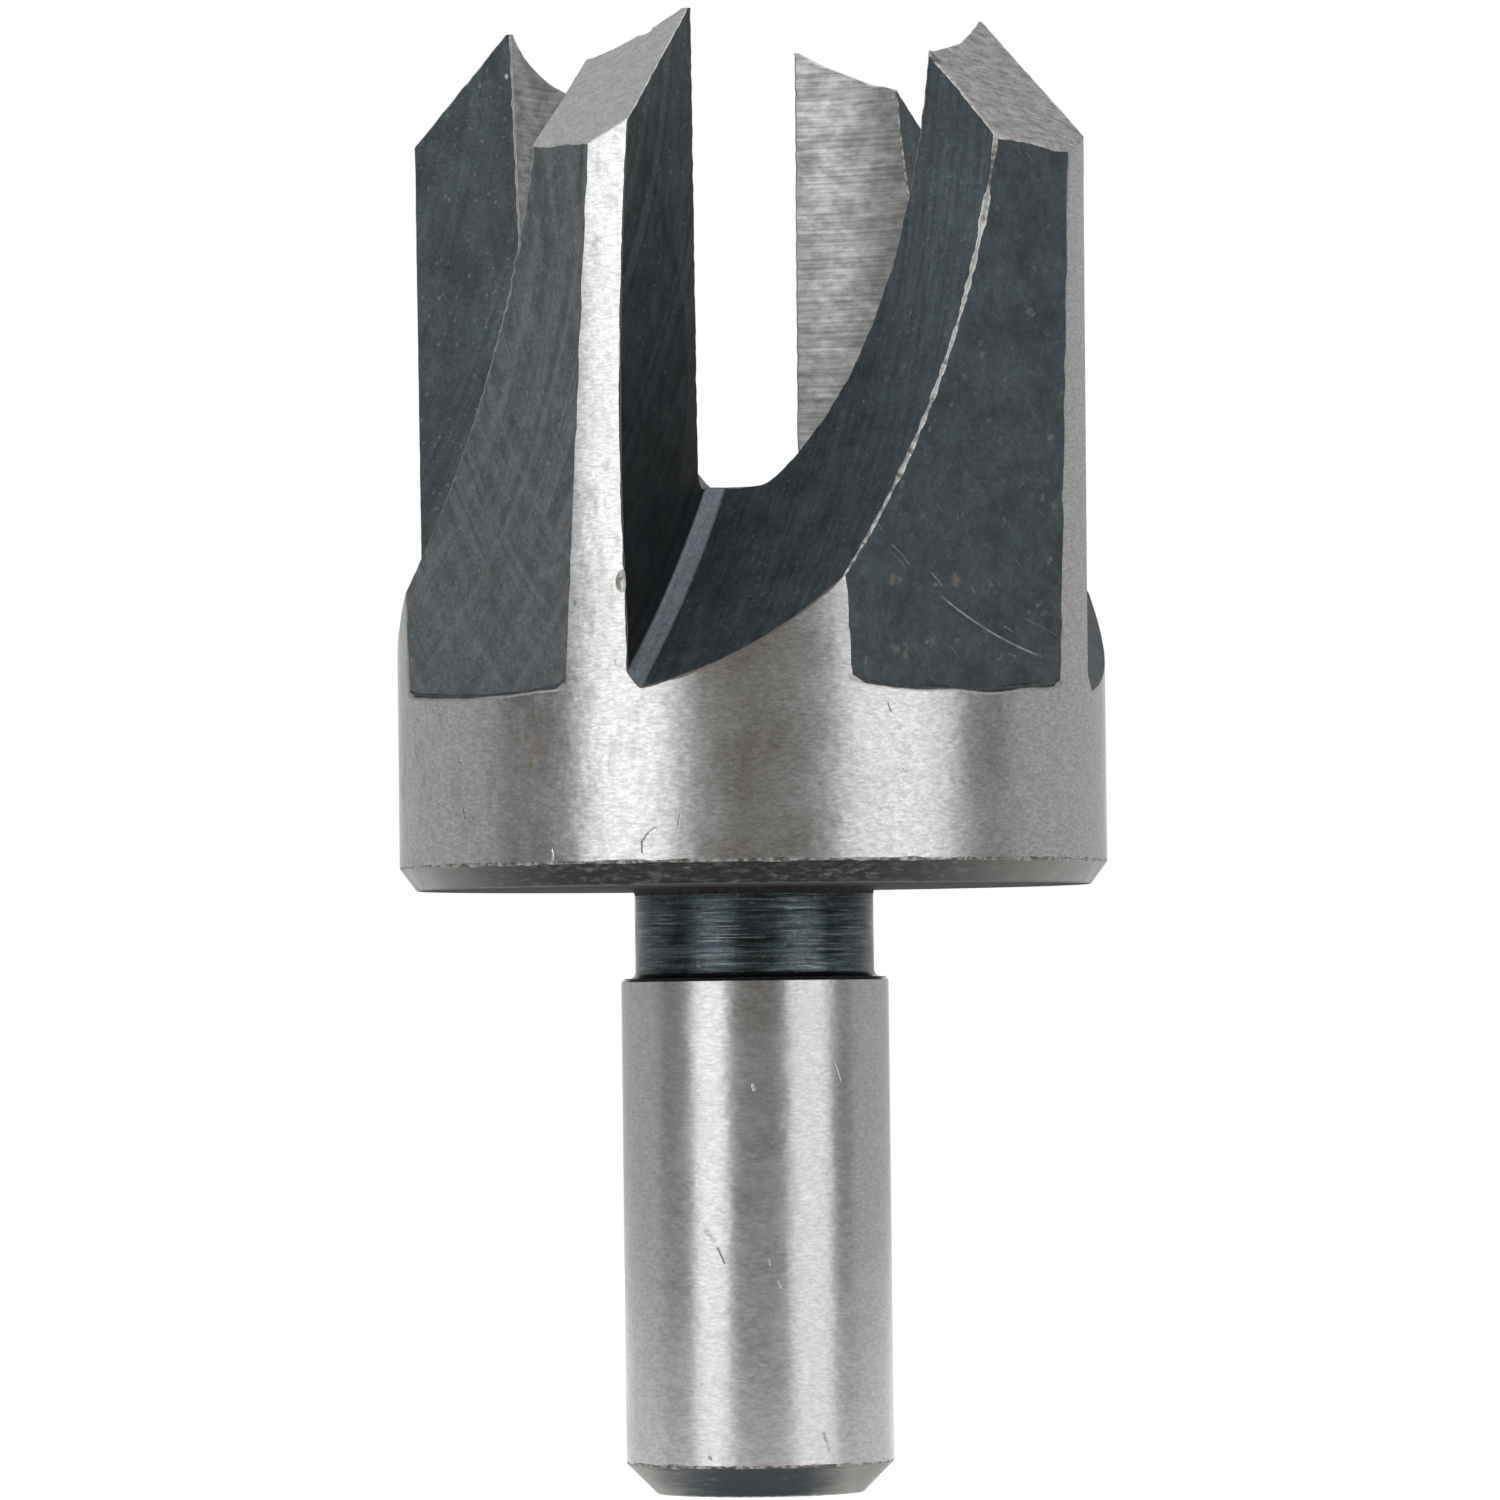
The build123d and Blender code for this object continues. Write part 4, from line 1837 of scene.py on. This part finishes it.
FINISHES: dict[Skin, Finish] = {
    Skin.GROUND: GroundSteel(),
    Skin.BORED: BoredSteel(),
    Skin.TIP: TipSteel(),
    Skin.FLAT: FlatOxide(colour=(0.105, 0.126, 0.138), marked=0.28, specked=1.6),
    Skin.SHOULDER: Oxide(name="shoulder_oxide", colour=(0.04, 0.042, 0.043)),
    Skin.FACE: FaceOxide(colour=(0.046, 0.059, 0.066), brown=0.25, specked=1.0, marked=0.5),
    Skin.CORNER: GulletOxide(name="corner_oxide", colour=(0.07, 0.085, 0.1)),
    Skin.GULLET: GulletOxide(colour=(0.0285, 0.0398, 0.0475), brown=0.1, marked=0.47, specked=0.5),
    Skin.NECK: TurnedOxide(
        name="neck_oxide", colour=(0.057, 0.076, 0.084), metallic=0.92, roughness=0.24, marked=0.95, brown=0.12,
        groove=0.02,
    ),
    Skin.CHAMFER: ChamferOxide(colour=(0.085, 0.086, 0.083), metallic=0.8, marked=0.4, groove=0.008),
    Skin.UNDER: Oxide(
        name="under_oxide", colour=(0.052, 0.054, 0.051), metallic=0.0, roughness=0.8, gloss=0.12, specked=0.3,
    ),
    Skin.NICK: WornEdge(name="knocked_edge", colour=(0.4, 0.39, 0.37)),
    Skin.EDGE: WornEdge(),
}


@dataclass
class CutterBody:
    """The whole tool, one piece of steel: turned, bored, milled, ground and then worn."""

    blank: Blank = field(default_factory=Blank)
    bore: Bore = field(default_factory=Bore)
    gullets: Sequence[Gullet] = field(default_factory=lambda: [Gullet(i) for i in range(4)])
    flats: Sequence[Flat] = field(default_factory=lambda: [Flat(i) for i in range(4)])
    hollow: FaceHollow = field(default_factory=FaceHollow)
    tips: Sequence[Tip] = TIPS
    dents: Sequence[Knock] = DENTS
    burrs: Sequence[Knock] = BURRS
    fettling: Fettling = field(default_factory=Fettling)

    def surfaces(self) -> list[Surface]:
        """Every exact surface of the tool, and last a stand-in for the skin of dents and burrs."""
        found = self.blank.form().surfaces() + self.bore.form().surfaces()
        for gullet in self.gullets:
            found += gullet.form().surfaces()
        for flat in self.flats:
            found += flat.surfaces()
        found.append(self.hollow.surface())
        found += [tip.surface() for tip in self.tips]
        nowhere = Surface(Skin.NICK, -1, lambda points: np.full(len(points), math.inf), lambda points: points)
        return found + [nowhere]

    def cut(self) -> bpy.types.Object:
        """The tool straight off the machines, with sharp edges, in mm."""
        body = self.blank.form().solid()
        body.name = body.data.name = "cutter_body"
        cutters = [self.bore.form().solid()] + [gullet.form().solid() for gullet in self.gullets]
        cutters += [flat.solid() for flat in self.flats] + [self.hollow.solid()]
        combine(body, cutters + [tip.solid() for tip in self.tips] + [tip.worn_off() for tip in self.tips])
        combine(body, [knock.solid() for knock in self.burrs], "UNION")
        combine(body, [knock.solid() for knock in self.dents])
        return body

    def build(self) -> bpy.types.Object:
        """The finished mesh, in metres, with its normals, frames and materials."""
        surfaces = self.surfaces()
        body = self.cut()
        body.data.materials.clear()
        for skin in SKINS:
            body.data.materials.append(FINISHES[skin].make())
        shades = self.fettling.prepare(body.data, surfaces)
        self.fettling.break_edges(body)
        dress(body.data, surfaces, shades)
        return body


def dress(mesh: bpy.types.Mesh, surfaces: Sequence[Surface], shades: Sequence[tuple[Vector, float, int]]) -> None:
    """Gives the mesh its materials, exact normals, tooth frames and edge brightness, and brings it to metres.

    Args:
        mesh: the mesh in mm, with the surface number of each polygon and edge breaks already in the edge material.
        surfaces: the exact surfaces.
        shades: places along the broken edges, each with its brightness and the surface that it takes after.
    """
    points, polygon_of, vertex_of = mesh_arrays(mesh)
    count = len(mesh.polygons)
    number = gathered(mesh.attributes[SURFACE].data, "value", kind=int)
    edge_slot = SKINS.index(Skin.EDGE)
    broken = gathered(mesh.polygons, "material_index", kind=int) == edge_slot
    tree = kdtree.KDTree(len(shades))
    for index, (place, _, _) in enumerate(shades):
        tree.insert(place, index)
    tree.balance()
    rounded = np.zeros(count, bool)
    for index in np.where(broken)[0]:
        taken = shades[tree.find(mesh.polygons[index].center)[1]][2]
        if taken >= 0:
            broken[index] = False
            number[index] = taken
            rounded[index] = surfaces[taken].skin is Skin.TIP
    skin_slot = np.array([SKINS.index(s.skin) for s in surfaces])
    slots = np.where(broken, edge_slot, skin_slot[number])
    mesh.polygons.foreach_set("material_index", slots)
    mesh.polygons.foreach_set("use_smooth", np.ones(count, bool))

    facing, area = gathered(mesh.polygons, "normal", 3), gathered(mesh.polygons, "area")
    normals = np.zeros((len(vertex_of), 3))
    knocked = slots == SKINS.index(Skin.NICK)
    loose_skin = broken | rounded | knocked
    exact = ~loose_skin[polygon_of]
    for index in np.unique(number[~loose_skin]):
        corners = np.where(exact & (number[polygon_of] == index))[0]
        normals[corners] = surfaces[index].normal(points[vertex_of[corners]])
    spread = np.zeros((len(points), 3))
    loose = np.where(~exact)[0]
    np.add.at(spread, vertex_of[loose], facing[polygon_of[loose]] * area[polygon_of[loose], None])
    normals[loose] = unit_rows(spread)[vertex_of[loose]]

    teeth = np.array([s.tooth for s in surfaces])[number][polygon_of]
    angle = -np.radians(90.0 * np.maximum(teeth, 0))
    (x, y, z), cos, sin = points[vertex_of].T, np.cos(angle), np.sin(angle)
    bench = np.column_stack([x * cos - y * sin, x * sin + y * cos, z])
    frame_layer = mesh.attributes.new(BENCH, "FLOAT_VECTOR", "CORNER")
    frame_layer.data.foreach_set("vector", bench.astype(np.float32).ravel())
    shade = np.zeros(len(points), np.float32)
    for vertex in np.unique(vertex_of[broken[polygon_of]]):
        shade[vertex] = shades[tree.find(Vector(points[vertex]))[1]][1]
    shade[vertex_of[knocked[polygon_of]]] = KNOCKED_SHADE
    mesh.attributes.new(SHADE, "FLOAT", "POINT").data.foreach_set("value", shade)
    mesh.attributes.remove(mesh.attributes[SURFACE])
    mesh.transform(Matrix.Scale(MM, 4))
    mesh.normals_split_custom_set([tuple(n) for n in normals])


@dataclass(frozen=True)
class Camera:
    """The photograph's camera, in mm from the foot of the tool's axis.

    Attributes:
        distance: from the axis.
        height: above the shank's end.
        azimuth_deg: direction of the camera from the axis, counted from +X.
        tilt_deg: how far it looks up.
        pan_deg: how far it looks aside.
        roll_deg: how far the picture leans.
        focal_px: focal length in pixels of the photograph.
        clip: nearest and furthest distance that it sees, in metres.
    """

    distance: float = 341.2
    height: float = 17.22
    azimuth_deg: float = -59.32
    tilt_deg: float = 1.543
    pan_deg: float = -0.0133
    roll_deg: float = -0.670
    focal_px: float = 9575.7
    clip: Span = (0.01, 50.0)

    def build(self) -> None:
        """Builds the camera, set as the scene's own."""
        data = bpy.data.cameras.new("camera")
        data.sensor_width = SENSOR_MM
        data.lens = self.focal_px * SENSOR_MM / PHOTO_SIDE
        data.clip_start, data.clip_end = self.clip
        made = placed("camera", data)
        a = math.radians(self.azimuth_deg)
        eye = Vector((math.cos(a), math.sin(a), 0)) * self.distance + Vector((0, 0, self.height))
        level = turn(self.azimuth_deg + 90.0, "Z") @ turn(-self.pan_deg, "Z") @ turn(90.0 + self.tilt_deg, "X")
        made.matrix_world = Matrix.Translation(eye * MM) @ level @ turn(self.roll_deg, "Z")
        bpy.context.scene.camera = made


@dataclass(frozen=True)
class SoftBox:
    """One soft light in front of the tool.

    Attributes:
        name: its name.
        bearing_deg: its bearing from the camera's, positive to the camera's right.
        span_deg: how wide it looks from the tool.
        low: height of its lower edge, in metres.
        high: height of its upper edge.
        away: distance from the tool.
        level: its radiance, where 1 is white.
    """

    name: str
    bearing_deg: float
    span_deg: float
    low: float
    high: float
    away: float
    level: float

    def build(self, camera_azimuth_deg: float) -> None:
        """Builds the light, facing the tool."""
        wide = 2 * self.away * math.tan(math.radians(self.span_deg / 2))
        tall = self.high - self.low
        data = bpy.data.lights.new(self.name, "AREA")
        data.shape = "RECTANGLE"
        data.size, data.size_y = wide, tall
        data.energy = self.level * math.pi * wide * tall
        made = placed(self.name, data)
        bearing = camera_azimuth_deg + self.bearing_deg
        a = math.radians(bearing)
        place = Vector((math.cos(a) * self.away, math.sin(a) * self.away, (self.low + self.high) / 2))
        made.matrix_world = Matrix.Translation(place) @ turn(bearing + 90.0, "Z") @ turn(90.0, "X")
        made.visible_camera = False


@dataclass(frozen=True)
class Studio:
    """Plain pale floor, soft lights and a pale surround.

    Where one part of the surround gives way to the next is told by the cosine of the bearing from the camera's.

    Attributes:
        camera: the photograph's camera.
        boxes: the soft lights.
        floor_radius: in metres.
        floor_steps: sides of the floor's outline.
        paper: how much light the floor spreads by itself.
        glow: radiance of the floor as the camera and reflections see it.
        backdrop: the surround's radiance straight behind the tool, where 1 is white.
        behind: the same round the back half.
        beside: the same at the sides of the front half.
        gap: its colour straight behind the camera.
        ceiling: its radiance above the camera.
        fade: distances from the pool of light behind the tool over which the floor falls off, in metres.
        stretch: width of that pool as a share of its length.
        far_floor: share of the floor's glow that is left outside it.
        shine: the floor's glow under each soft light, as seen in metal.
        soft_deg: how far that glow's sides fade out.
        backdrop_ends: where the backdrop gives way to the back half.
        side_ends: where the back half gives way to the front half.
        ceiling_z: heights of the direction over which the ceiling sets in.
        ceiling_ends: where it sets in.
        gap_ends: where the gap sets in.
    """

    camera: Camera = Camera()
    boxes: tuple[SoftBox, ...] = (
        SoftBox("left_box", -40.0, 31.0, 0.0, 0.6, 0.6, 2.38),
        SoftBox("right_box", 47.5, 40.0, 0.0, 0.6, 0.6, 1.74),
    )
    floor_radius: float = 0.3
    backdrop: float = 1.03
    behind: float = 0.6
    beside: float = 0.17
    gap: Triple = (0.125, 0.105, 0.085)
    ceiling: float = 1.2
    fade: Span = (0.1, 0.15)
    stretch: float = 0.6
    far_floor: float = 0.35
    shine: float = 1.2
    soft_deg: float = 3.0
    floor_steps: int = 96
    paper: float = 0.3
    glow: float = 0.85
    backdrop_ends: Span = (-0.985, -0.955)
    side_ends: Span = (-0.08, 0.08)
    ceiling_z: Span = (0.28, 0.5)
    ceiling_ends: Span = (-0.1, 0.1)
    gap_ends: Span = (0.86, 0.95)

    def build(self) -> None:
        """Builds the floor, the lights and the world."""
        self.camera.build()
        for box in self.boxes:
            box.build(self.camera.azimuth_deg)
        self.floor()
        self.surround()
        bpy.context.scene.view_settings.view_transform = "Standard"

    def toward(self, bearing_deg: float = 0.0) -> Triple:
        """The level direction at a bearing from the camera's."""
        a = math.radians(self.camera.azimuth_deg) + math.radians(bearing_deg)
        return (math.cos(a), math.sin(a), 0.0)

    def floor(self) -> None:
        """A round pale floor that keeps the tool's shadow and looks white."""
        angles = [math.tau * i / self.floor_steps for i in range(self.floor_steps)]
        ring = [(self.floor_radius * math.cos(a), self.floor_radius * math.sin(a), 0.0) for a in angles]
        made = mesh_object("floor", ring, [tuple(range(self.floor_steps))])
        material = bpy.data.materials.new("floor_paper")
        material.use_nodes = True
        recipe = Recipe(material.node_tree)
        rays = [
            recipe.node("ShaderNodeLightPath", output=f"Is {kind} Ray") for kind in ("Camera", "Glossy", "Transmission")
        ]
        seen = (rays[0] + rays[1] + rays[2]).least(1.0)
        paper = recipe.node("ShaderNodeBsdfDiffuse", None, {"Color": (self.paper,) * 3})
        at = recipe.node("ShaderNodeTexCoord", output="Object")
        ahead = self.toward()
        spot = (at.dot(ahead) * self.stretch).joined(at.dot((-ahead[1], ahead[0], 0.0)))
        pale = spot.far((-self.fade[0], 0.0, 0.0)).ramp(*self.fade, 1.0, self.far_floor).most(rays[0])
        around = at.around()
        for box in self.boxes:
            sides = [math.cos(math.radians(box.span_deg / 2 + edge)) for edge in (self.soft_deg, -self.soft_deg)]
            pale = pale.most(around.dot(self.toward(box.bearing_deg)).ramp(*sides) * self.shine)
        sockets = {"Color": pale.joined(pale, pale), "Strength": seen * self.glow}
        glow = recipe.node("ShaderNodeEmission", None, sockets)
        recipe.end("ShaderNodeOutputMaterial", recipe.node("ShaderNodeAddShader", None, {0: paper, 1: glow}))
        made.data.materials.append(material)

    def surround(self) -> None:
        """The world: white behind the tool, pale grey beside it, darker straight behind the camera."""
        world = bpy.data.worlds.new("surround")
        world.use_nodes = True
        bpy.context.scene.world = world
        recipe = Recipe(world.node_tree)
        way = recipe.node("ShaderNodeTexCoord", output="Generated")
        front = way.around().dot(self.toward())
        level = front.ramp(*self.backdrop_ends, self.backdrop, self.behind)
        level = level - front.ramp(*self.side_ends, 0.0, self.behind - self.beside)
        high = way.part("Z").ramp(*self.ceiling_z) * front.ramp(*self.ceiling_ends)
        level = level * (1 - high) + high * self.ceiling
        colour = (front.ramp(*self.gap_ends) * (1 - high)).blend(level.joined(level, level), self.gap)
        colour = recipe.node("ShaderNodeLightPath", output="Is Camera Ray").blend(colour, (1.0, 1.0, 1.0))
        light = recipe.node("ShaderNodeBackground", None, {"Color": colour, "Strength": 1.0})
        recipe.end("ShaderNodeOutputWorld", light)


def main() -> None:
    """Builds the tool and the studio."""
    body = CutterBody().build()
    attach(body, "root")
    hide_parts(CAD_NODE)
    log.info("cutter body: %d polygons", len(body.data.polygons))
    studio = Studio()
    studio.build()
    log.info("studio: floor, %d soft boxes, surround and camera", len(studio.boxes))


if __name__ == "__main__":
    logging.basicConfig(level=logging.INFO)
    main()
